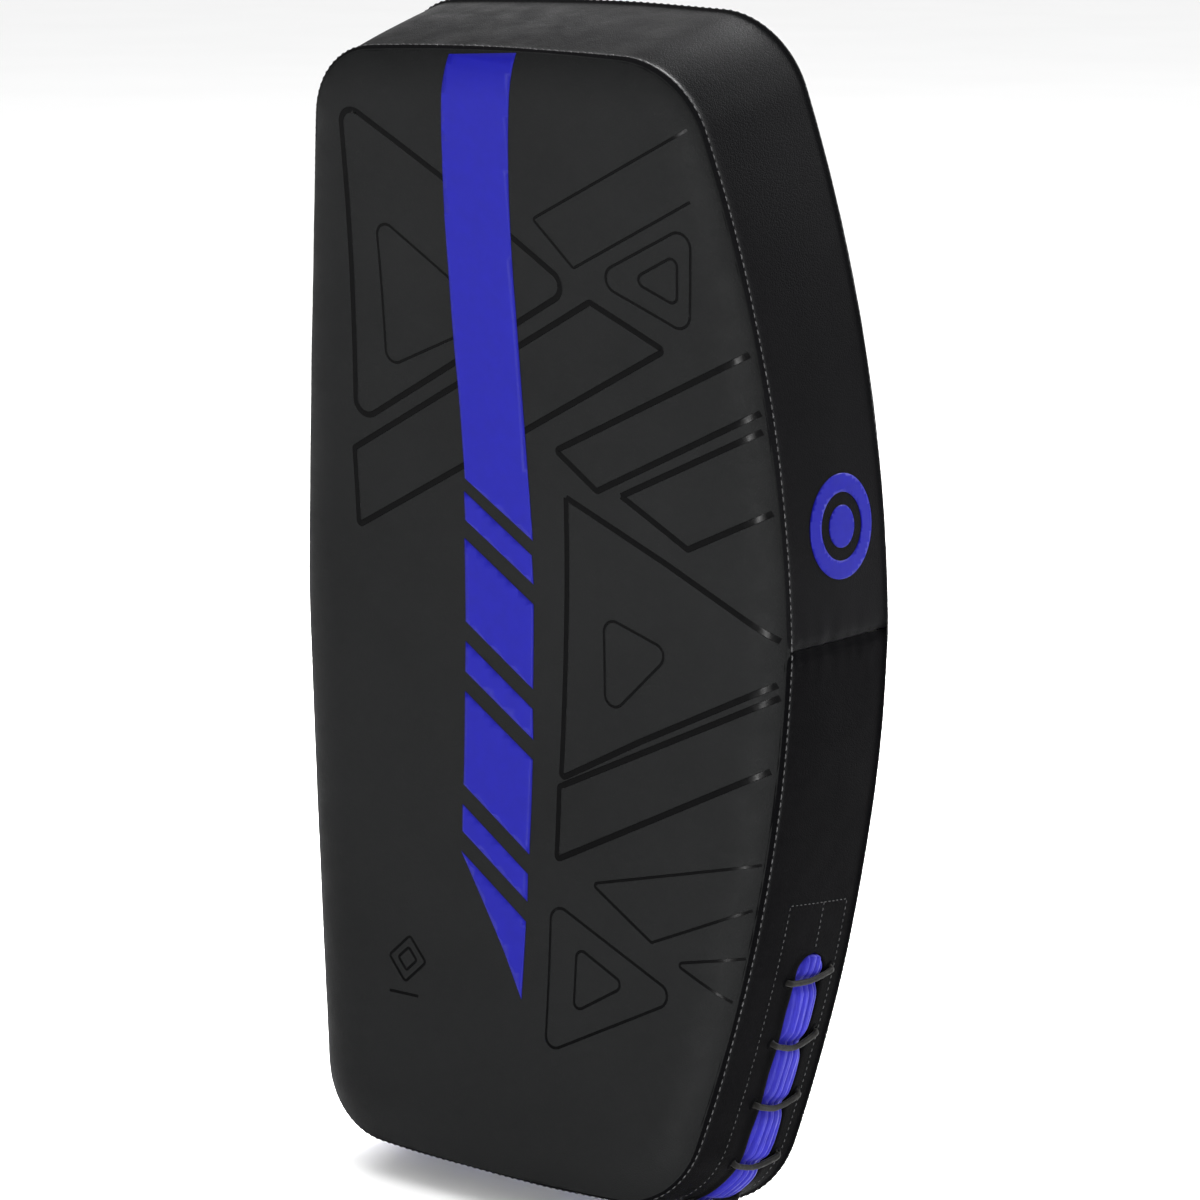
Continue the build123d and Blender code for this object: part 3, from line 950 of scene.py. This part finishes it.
def inkFill(name, shapes, finish, drop, step=5.0, lift=0.2):
    # filled shapes cut on a grid, with their edges turned down into the cover
    form = bmesh.new()
    for shape in shapes:
        form.faces.new([form.verts.new((p[0], p[1], 0)) for p in shape])
    bmesh.ops.triangulate(form, faces=form.faces)
    for axis in (0, 1):
        places = [v.co[axis] for v in form.verts]
        at = math.floor(min(places) / step) * step + step
        while at < max(places):
            normal = (1, 0, 0) if axis == 0 else (0, 1, 0)
            everything = form.verts[:] + form.edges[:] + form.faces[:]
            bmesh.ops.bisect_plane(form, geom=everything, dist=0.0001,
                                   plane_co=tuple(n * at for n in normal), plane_no=normal)
            at += step
    bmesh.ops.remove_doubles(form, verts=form.verts, dist=0.001)
    rim = [e for e in form.edges if e.is_boundary]
    turned = bmesh.ops.extrude_edge_only(form, edges=rim)["geom"]
    low = {v for v in turned if isinstance(v, bmesh.types.BMVert)}
    for v in form.verts[:]:
        place = drop(v.co.x, v.co.y, -inkShape["sink"] if v in low else lift)
        if place is None:
            form.verts.remove(v)
        else:
            v.co = place
    mesh = bpy.data.meshes.new(name)
    bmesh.ops.recalc_face_normals(form, faces=form.faces)
    form.to_mesh(mesh)
    form.free()
    mesh.materials.append(finishes[finish])
    flatRim(mesh)
    piece = bpy.data.objects.new(name, mesh)
    bpy.context.collection.objects.link(piece)
    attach(piece, "pad")


# the long stripe, and plain slanted blocks below it that shrink to a point
stripeSides = [
    [(-29, 328), (-36, 303), (-41, 272), (-45, 236), (-47, 200), (-48, 160), (-47, 120), (-46, 78)],
    [(2, 46), (0, 90), (-1, 128), (-1, 165), (0, 210), (4, 256), (10, 294), (18, 330)],
]
stripe = [tuple(p) for side in stripeSides for p in smoothLine(np.array(side, float), 5)]
blocks = [
    [(-47, 70), (1, 37), (2, 20), (-47, 53)],
    [(-48, 42), (2, 8), (2, -42), (-48, -8)],
    [(-48, -20), (2, -54), (3, -72), (-48, -38)],
    [(-48, -50), (3, -84), (4, -140), (-47, -106)],
    [(-47, -118), (4, -152), (5, -168), (-46, -134)],
    [(-46, -146), (5, -180), (7, -226), (-9, -200)],
]
inkFill("blueStripe", [stripe], "blue", dropOnFace)
inkFill("blueBlocks", blocks, "blue", dropOnFace)

# gloss outlines: nested three-sided and slanted four-sided frames
heavy, light = 3.9, 1.8
frames = [
    ([(-112, 300), (-46, 258), (40, 197), (-127, 102)], heavy, 9, True),
    ([(-97, 232), (-46, 196), (-44, 163), (-100, 139)], light, 7, True),
    ([(52, 190), (101, 166), (-128, 41), (-129, 88)], heavy, 1.6, True),
    ([(129, 292), (18, 236), (43, 209), (127, 252)], light, 1.6, False),
    ([(126, 240), (54, 204), (119, 176)], light, 8, True),
    ([(115, 222), (82, 205), (112, 192)], light, 4, True),
    ([(177, 178), (21, 101), (49, 80), (177, 143)], heavy, 1.6, False),
    ([(66, 79), (177, 132)], heavy, 1.6, False),
    ([(66, 79), (111, 53), (177, 84)], heavy, 1.6, False),
    ([(27, 74), (96, 43), (177, 4)], heavy, 9, False),
    ([(27, 74), (24, -92), (80, -62), (177, -14)], heavy, 2, False),
    ([(52, 8), (100, -8), (54, -54)], light, 7, True),
    ([(177, -62), (24, -140), (23, -97), (177, -22)], heavy, 1.6, False),
    ([(177, -118), (50, -150), (95, -177), (177, -140)], light, 1.6, False),
    ([(166, -174), (112, -186), (153, -203)], light, 1.6, False),
    ([(22, -164), (118, -206), (28, -254)], light, 7, True),
    ([(43, -188), (80, -205), (45, -227)], light, 4, True),
    ([(-80, -203), (-66, -217), (-80, -231), (-94, -217)], light, 2, True),
    ([(-80, -210), (-73, -217), (-80, -224), (-87, -217)], light, 1.4, True),
    ([(-91, -238), (-69, -238)], light, 1, False),
]
inkLines("glossOutlines", frames)

# side badge: a plain ring and disc
badge = {"arc": 61.6, "depth": 55.5, "outer": 28.5, "inner": 18.5, "disc": 11.5, "count": 72}


def makeBadge():
    middleRun = float(np.interp(badge["arc"], frontLine[:around // 8, 1], rimRun[:around // 8]))

    def drop(x, y, lift):
        return dropOnSide(middleRun + y, badge["depth"] + x, lift)

    turns = np.linspace(0, 2 * math.pi, badge["count"], endpoint=False)
    shapes = []
    for a, b in zip(turns, np.roll(turns, -1)):
        shapes.append([(badge[k] * math.cos(t), badge[k] * math.sin(t))
                       for k, t in (("inner", a), ("outer", a), ("outer", b), ("inner", b))])
    shapes.append([(badge["disc"] * math.cos(t), badge["disc"] * math.sin(t)) for t in turns])
    inkFill("sideBadge", shapes, "badge", drop, step=2.5, lift=0.26)


makeBadge()
print("prints ready")

# Straps, patches and grip. A strap's own line runs across (x) and out of the back, at one height
strapArcs = {"upper_strap": 45.0, "lower_strap": -115.0}
gripArc = 195.0
backRadius = pad["bendRadius"] + pad["thickness"]


def strapPoint(arc, x, out, up):
    # near the back a strap follows its curve, further out it is straight
    start = bend(0, arc, pad["thickness"])
    hug = np.clip((26.0 - np.asarray(out, float)) / 20.0, 0, 1)
    away = out - hug * np.asarray(up, float) ** 2 / (2 * backRadius)
    angle = arc / pad["bendRadius"]
    y = away * math.cos(angle) - up * math.sin(angle)
    z = away * math.sin(angle) + up * math.cos(angle)
    return start + np.stack(np.broadcast_arrays(x, y, z), -1) * mm


def roundedRoute(corners, radii, step=1.6):
    # corners joined by straight runs, each corner turned on a true arc
    corners = [np.array(c, float) for c in corners]
    line = [corners[0]]
    for before, here, after, radius in zip(corners, corners[1:], corners[2:], radii):
        line += arcPlaces(*cornerArc(before, here, after, radius, 1.0), step)
    line = np.array(line + [corners[-1]])
    run = runOf(line)
    even = np.linspace(0, run[-1], int(run[-1] / step) + 2)
    return pick(even, run, line), even


def lineSide(route):
    # the outer side of a route, a quarter turn from its way
    way = np.gradient(route, axis=0)
    way /= np.linalg.norm(way, axis=1)[:, None]
    return np.stack([-way[:, 1], way[:, 0]], -1)


def layStrip(name, arc, route, run, width, thick, finish, slot, endRound=0.0, profile=None,
             edgeBead=0.0, wave=0.25, seed=1.0):
    # a closed flat strip: thickness may change along and across it
    side = lineSide(route)
    total = run[-1]
    across = np.concatenate([np.linspace(-1, -0.93, 4), np.linspace(-0.9, 0.9, 29),
                             np.linspace(0.93, 1, 4)])
    points = []
    for k, place in enumerate(route):
        half, toEnd = width / 2, total - run[k]
        if toEnd < endRound:
            half -= endRound - math.sqrt(max(endRound ** 2 - (endRound - toEnd) ** 2, 0))
        up = across * half
        edge = half - np.abs(up)
        body = thick / 2 * (profile(run[k], up) if profile else np.ones_like(up))
        body = body * np.sqrt(np.clip(1 - np.clip(1 - edge / (thick * 0.5), 0, 1) ** 2, 0.02, 1))
        body = body + edgeBead * np.exp(-((edge - 1.6) / 1.3) ** 2)
        near = min(run[k], total - run[k])
        body = body * math.sqrt(max(0.03, 1 - max(0.0, 1 - near / (thick * 0.5)) ** 2))
        lift = wave * ripple(run[k] + 0 * up, up, 32.0, seed)
        for sign, order in ((1, 1), (-1, -1)):
            off = (sign * body + lift)[::order]
            u = up[::order]
            x = place[0] + side[k, 0] * off
            out = place[1] + side[k, 1] * off
            points.append(strapPoint(arc, x, out, u))
    ring = 2 * len(across)
    points = np.array(points).reshape(-1, 3)
    faces = gridFaces(len(route), ring, True)
    last = (len(route) - 1) * ring
    for base, flip in ((0, False), (last, True)):
        for c in range(len(across) - 1):
            quad = (base + c, base + c + 1, base + ring - 2 - c, base + ring - 1 - c)
            faces.append(quad[::-1] if flip else quad)
    return weld(makePiece(name, points, faces, finish), 0.000004)


def strapRow(name, arc, route, run, up, off, body, start, stop, **how):
    # a row of stitches along a strap, at a height and a distance off its middle line
    side = lineSide(route)
    keep = (run >= start) & (run <= run[-1] - stop)
    x = (route[:, 0] + side[:, 0] * off)[keep]
    out = (route[:, 1] + side[:, 1] * off)[keep]
    line = strapPoint(arc, x, out, up + 0 * x)
    above = strapPoint(arc, x + side[keep, 0], out + side[keep, 1], up + 0 * x)
    sewRow(name, line, (above - line) / mm, body, **how)


def roundedBlock(halfX, halfUp, radius, count=176):
    # outline of a rounded rectangle, even along its run
    radius = max(min(radius, halfX, halfUp), 0.4)
    line = []
    for cx, cu, first in ((1, 1, 0), (-1, 1, 90), (-1, -1, 180), (1, -1, 270)):
        for t in np.radians(np.linspace(first, first + 90, 12)):
            line.append((cx * (halfX - radius) + radius * math.cos(t),
                         cu * (halfUp - radius) + radius * math.sin(t)))
    line = np.array(line + [line[0]])
    run = runOf(line)
    return pick(np.linspace(0, run[-1], count, endpoint=False), run, line)


patchShape = {"insets": [0.0, 0.0, 0.15, 0.45, 0.9, 1.6, 2.6, 3.4, 4.0, 4.6, 5.6, 7.0, 9.0, 11.5],
              "seam": 0.35, "low": -0.3, "high": 1.35}


def layPatch(name, arc, middleX, halfX, halfUp, node, seed, low=patchShape["low"], high=patchShape["high"],
             finish="strap", slot="strap_leather", radius=9.0, stitchIn=4.0):
    # a sewn patch: turned edge, a dip under its stitches, a slightly soft field
    insets, seam = [e for e in patchShape["insets"] if e < min(halfX, halfUp) * 0.7], patchShape["seam"]
    rings = []
    for k, e in enumerate(insets):
        ring = roundedBlock(halfX - e, halfUp - e, radius - e)
        rise = low if k == 0 else low + (high - low) * (1 - math.exp(-(e + 0.15) / 0.35))
        rise -= seam * math.exp(-((e - stitchIn) / 0.9) ** 2)
        rings.append((ring, rise))
    for share in np.linspace(0.86, 0.06, 10):
        rings.append((rings[len(insets) - 1][0] * share, high))
    points = []
    for k, (ring, rise) in enumerate(rings):
        uneven = 0.14 * ripple(ring[:, 0] + middleX, ring[:, 1], 18.0, seed) if k > 2 else 0 * ring[:, 0]
        points.append(bend(middleX + ring[:, 0], arc + ring[:, 1], pad["thickness"] + rise + uneven))
    count = len(rings[0][0])
    points = np.concatenate(points + [bend(middleX, arc, pad["thickness"] + high)[None]])
    faces = gridFaces(len(rings), count, True)
    start = (len(rings) - 1) * count
    faces += [(start + c, start + (c + 1) % count, len(points) - 1) for c in range(count)]
    faces.append(tuple(range(count))[::-1])
    piece = weld(makePiece(name, points, faces, finish), 0.000004)
    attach(piece, "pad")
    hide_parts(node)
    ring = roundedBlock(halfX - stitchIn, halfUp - stitchIn, radius - stitchIn)
    ring = np.vstack([ring, ring[:1]])
    line = bend(middleX + ring[:, 0], arc + ring[:, 1], pad["thickness"] + high - seam)
    sewRow(name + "Stitches", line, bendNormal(arc + ring[:, 1]), "pad", 2.6, 4.0, 0.30, slot)


def crossStitches(name, arc, xs, ups, out, slot="strap_leather"):
    # a sewn box with a cross, which holds a webbing or strap end down
    corners = [(xs[0], ups[0]), (xs[1], ups[0]), (xs[1], ups[1]), (xs[0], ups[1]), (xs[0], ups[0]),
               (xs[1], ups[1]), (xs[1], ups[0]), (xs[0], ups[1])]
    line = []
    for a, b in zip(corners[:-1], corners[1:]):
        for t in np.linspace(0, 1, 14)[:-1]:
            line.append((a[0] + (b[0] - a[0]) * t, a[1] + (b[1] - a[1]) * t))
    line = np.array(line + [corners[-1]])
    place = strapPoint(arc, line[:, 0], out + 0 * line[:, 0], line[:, 1])
    sewRow(name, place, bendNormal(arc), "pad", 2.0, 3.0, 0.30, slot)


strapShape = {
    "width": 80.0, "thickness": 2.4, "stitchIn": 4.5, "bead": 0.35, "endRound": 12.0,
    "corners": [(-104, 2.7), (-72, 2.7), (-72, 68), (72, 68), (72, 6.6), (130, 6.6)],
    "turns": [5, 52, 52, 9],
    "sewing": {"length": 2.8, "pitch": 4.4},
    "hinge": [(-76.0, 2.8), (-67.0, 12.0)],         # still below the first, fully turned above the second
}
paddingShape = {"width": 74.0, "thickness": 8.0, "channel": 17.0, "turn": 46.5,
                "corners": [(-66.5, 13.0), (-66.5, 62.5), (66.5, 62.5), (66.5, 13.0)]}


def makeStrap(strap, arc):
    # flap and its sewn tab in one length, which bends where the strap is hinged
    route, run = roundedRoute(strapShape["corners"], strapShape["turns"])
    flap = layStrip(strap + "Flap", arc, route, run, strapShape["width"], strapShape["thickness"], "strap",
                    "strap_leather", endRound=strapShape["endRound"], edgeBead=strapShape["bead"], seed=arc)
    start, end = (strapPoint(arc, *place, 0.0) for place in strapShape["hinge"])
    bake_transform(flap)
    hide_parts(strap + "_flap", strap + "_anchor_tab")
    sewUp = strapShape["width"] / 2 - strapShape["stitchIn"]
    for label, up in (("Top", sewUp), ("Foot", -sewUp)):
        strapRow(strap + "Edge" + label, arc, route, run, up, 1.05, strap, start=52.0, stop=7.0,
                 **strapShape["sewing"])
    ups = np.linspace(-30, 30, 30)
    place = strapPoint(arc, 125.5 + 0 * ups, 7.65 + 0 * ups, ups)
    sewRow(strap + "EdgeEnd", place, bendNormal(arc), strap, **strapShape["sewing"])
    crossStitches(strap + "TabStitches", arc, (-100.5, -80.0), (-34.0, 34.0), 3.75)

    # quilted arm pad inside the arch
    route, run = roundedRoute(paddingShape["corners"], [paddingShape["turn"]] * 2, 1.4)

    def quilt(place, up):
        # channels across the arm, and a seam line inside each long edge
        channel = abs(math.sin(math.pi * place / paddingShape["channel"])) ** 0.55
        edge = paddingShape["width"] / 2 - np.abs(up)
        rim = 1 - 0.55 * np.exp(-((edge - 5.0) / 1.5) ** 2)
        return (0.50 + 0.48 * channel) * rim

    pads = layStrip(strap + "ArmPad", arc, route, run, paddingShape["width"], paddingShape["thickness"],
                    "mesh", "padding_fabric", profile=quilt, wave=0.3, seed=arc + 3)
    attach(pads, strap)
    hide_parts(strap + "_padding")

    hook = roundedRoute([(87.5, 4.4), (126.5, 4.4)], [], 1.2)
    hookTape = layStrip(strap + "HookTape", arc, *hook, 66.0, 1.5, "hook", "hook_tape", wave=0.0)
    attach(hookTape, strap)
    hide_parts(strap + "_hook_tape")
    layPatch(strap + "AnchorPatch", arc, -85.0, 27.0, 48.0, strap + "_anchor_patch", arc + 5)
    layPatch(strap + "LandingPatch", arc, 103.0, 45.0, 48.0, strap + "_landing_patch", arc + 7)
    layPatch(strap + "LoopTape", arc, 103.0, 37.0, 34.0, strap + "_loop_tape", arc + 9, 1.0, 3.1,
             "loop", "loop_tape", radius=2.0, stitchIn=2.2)


for strap, arc in strapArcs.items():
    makeStrap(strap, arc)
print("straps ready")

gripShape = {
    "width": 25.0, "thickness": 2.2, "sleeveRadius": 16.0, "sleeveHalf": 56.0, "sleeveOut": 46.0,
    "corners": [(-122, 2.8), (-94.5, 2.8), (-91, 13), (-70, 46), (70, 46), (91, 13), (94.5, 2.8),
                (122, 2.8)],
    "turns": [7, 10, 12, 12, 10, 7],
    "ends": [(1.5, 0.30), (0.6, 0.42), (0.0, 0.58), (0.4, 0.74), (1.8, 0.88), (4.2, 0.955)],
    "endRow": 9,        # the ring of stitches, in from each end of the sleeve
}


def sleevePlace(x, size, turns):
    return strapPoint(gripArc, x + 0 * turns, gripShape["sleeveOut"] + size * np.sin(turns),
                      size * np.cos(turns))


def makeGrip():
    route, run = roundedRoute(gripShape["corners"], gripShape["turns"], 1.2)
    webbing = layStrip("gripWebbing", gripArc, route, run, gripShape["width"], gripShape["thickness"],
                       "webbing", "webbing", edgeBead=0.12, wave=0.12, seed=4.4)
    start, end = (strapPoint(gripArc, 0.0, out, 0.0) for out in (2.2, 14.0))
    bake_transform(webbing)
    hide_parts("grip_webbing", "grip_tab_left", "grip_tab_right")
    for label, side in (("Right", 1), ("Left", -1)):
        layPatch("gripPatch" + label, gripArc, side * 104.0, 26.0, 29.0, "grip_patch_" + label.lower(),
                 side * 3.3)
        crossStitches("gripTabStitches" + label, gripArc, (side * 118.5, side * 99.5), (-9.0, 9.0), 3.85,
                      "webbing")
    # padded sleeve: a soft round roll with drawn-in ends and one long seam
    half, radius = gripShape["sleeveHalf"], gripShape["sleeveRadius"]
    stations = [(-half + along, share) for along, share in gripShape["ends"]]
    stations += [(x, 1.0) for x in np.linspace(-half + 7, half - 7, 60)]
    stations += [(-x, share) for x, share in stations[5::-1]]
    turns = np.linspace(0, 2 * math.pi, 72, endpoint=False)
    points = []
    for x, share in stations:
        size = radius * share - 0.5
        uneven = 0.35 * ripple(x + 0 * turns, 14 * np.cos(turns), 16.0, 5.2) * share ** 4
        fromSeam = np.abs((turns - 1.5 * math.pi + math.pi) % (2 * math.pi) - math.pi) * radius
        groove = 0.9 * np.exp(-(fromSeam / 1.1) ** 2) - 0.35 * np.exp(-((fromSeam - 3.2) / 1.6) ** 2)
        pucker = 0.35 * np.sin(11 * turns) * (1 - share) * 2
        ringSize = size + uneven - groove * share ** 4 + pucker
        endDip = 0.55 * math.exp(-((abs(x) - half + gripShape["endRow"]) / 1.1) ** 2)
        ringSize = ringSize - endDip
        points.append(sleevePlace(x, ringSize, turns))
    points = np.concatenate(points)
    faces = gridFaces(len(stations), len(turns), True)
    faces.append(tuple(range(len(turns))))
    faces.append(tuple(range(len(points) - len(turns), len(points)))[::-1])
    sleeve = weld(makePiece("gripSleeve", points, faces, "strap"), 0.000004)
    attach(sleeve, "grip")
    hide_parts("grip_sleeve")
    for label, side in (("Right", 1), ("Left", -1)):
        ring = np.linspace(0, 2 * math.pi, 90)
        at, size = side * (half - gripShape["endRow"]), radius - 1.15
        line, over = (sleevePlace(at, r, ring) for r in (size, size + 1))
        sewRow("gripSleeveStitches" + label, line, (over - line) / mm, "grip", length=2.4, pitch=3.8)


makeGrip()
print("grip ready")

# Camera: stands off the strike face, to its right and above
view = {"azimuth": 37.22, "elevation": 11.80, "roll": -0.15, "distance": 2.280, "lens": 117.92,
        "shiftX": 0.0551, "shiftY": 0.0142}


def placeCamera():
    az, el = math.radians(view["azimuth"]), math.radians(view["elevation"])
    back = Vector((math.sin(az) * math.cos(el), -math.cos(az) * math.cos(el), math.sin(el)))
    right = Vector((math.cos(az), math.sin(az), 0))
    up = back.cross(right)
    tilt = math.radians(view["roll"])
    right, up = right * math.cos(tilt) + up * math.sin(tilt), up * math.cos(tilt) - right * math.sin(tilt)
    data = bpy.data.cameras.new("camera")
    data.lens, data.sensor_width = view["lens"], 36
    data.shift_x, data.shift_y = view["shiftX"], view["shiftY"]
    data.clip_end = 50
    camera = bpy.data.objects.new("camera", data)
    bpy.context.collection.objects.link(camera)
    camera.rotation_euler = Matrix((right, up, back)).transposed().to_euler()
    camera.location = Vector((0, faceY * mm, 0)) + back * view["distance"]
    bpy.context.scene.camera = camera


placeCamera()

# Floor and light
studio = {
    "floor": (0.93, 0.93, 0.93), "bright": 1.2,
    "flags": [{"toward": (0.85, 0.35, 0.0), "fall": (0.45, 0.9, 1.0, 0.12)},
              {"toward": (-0.95, -0.25, 0.0), "fall": (0.35, 0.85, 1.0, 0.15)}],
    "lights": [
        ("topLight", (0.0, 0.6, 4.6), (0, 0.2, 0), (7.0, 7.0), 340.0),
        ("frontLight", (0.0, -1.3, -0.10), (0.12, 0, 0), (0.12, 0.44), 17.0),
        ("topEdgeLight", (-0.1, 1.9, 1.5), (0.1, 0, 0.35), (1.2, 0.6), 215.0),
        ("cornerLight", (1.0, 1.5, 1.0), (0.1, 0, 0.3), (0.7, 0.7), 60.0),
        ("backLight", (-1.6, 2.4, 1.2), (0, 0, 0), (1.2, 1.4), 14.0),
    ],
}


def softLight(name, place, aim, size, power):
    data = bpy.data.lights.new(name, "AREA")
    data.shape, data.size, data.size_y = "RECTANGLE", size[0], size[1]
    data.energy = power
    lamp = bpy.data.objects.new(name, data)
    bpy.context.collection.objects.link(lamp)
    lamp.location = place
    lamp.rotation_euler = (Vector(aim) - Vector(place)).to_track_quat("-Z", "Y").to_euler()


def makeStudio():
    bpy.ops.mesh.primitive_plane_add(size=60, location=(0, 0, cadBox[0].z))
    floor = bpy.context.object
    floor.name = "studioFloor"
    f = Finish("paleFloor", studio["floor"], 0.8, 0.2)
    f.tint(f.noise(2.0), 0.98, 1.0)
    floor.data.materials.append(f.material)
    world = bpy.data.worlds.new("studio")
    bpy.context.scene.world = world
    bpy.context.scene.view_settings.view_transform = "Standard"
    world.use_nodes = True
    # white all round, but for two dark flags: behind on the right, and in front on the left
    nodes, links = world.node_tree.nodes, world.node_tree.links
    place = nodes.new("ShaderNodeTexCoord")
    strength = studio["bright"]
    for flag in studio["flags"]:
        toward = nodes.new("ShaderNodeVectorMath")
        toward.operation = "DOT_PRODUCT"
        toward.inputs[1].default_value = flag["toward"]
        fall = nodes.new("ShaderNodeMapRange")
        fall.interpolation_type = "SMOOTHSTEP"
        for key, value in zip(("From Min", "From Max", "To Min", "To Max"), flag["fall"]):
            fall.inputs[key].default_value = value
        product = nodes.new("ShaderNodeMath")
        product.operation = "MULTIPLY"
        links.new(place.outputs["Generated"], toward.inputs[0])
        links.new(toward.outputs["Value"], fall.inputs["Value"])
        links.new(fall.outputs["Result"], product.inputs[0])
        if isinstance(strength, float):
            product.inputs[1].default_value = strength
        else:
            links.new(strength, product.inputs[1])
        strength = product.outputs[0]
    links.new(strength, nodes["Background"].inputs["Strength"])
    nodes["Background"].inputs["Color"].default_value = (1, 1, 1, 1)
    for name, place, aim, size, power in studio["lights"]:
        softLight(name, place, aim, size, power)


makeStudio()
print("camera and light ready")
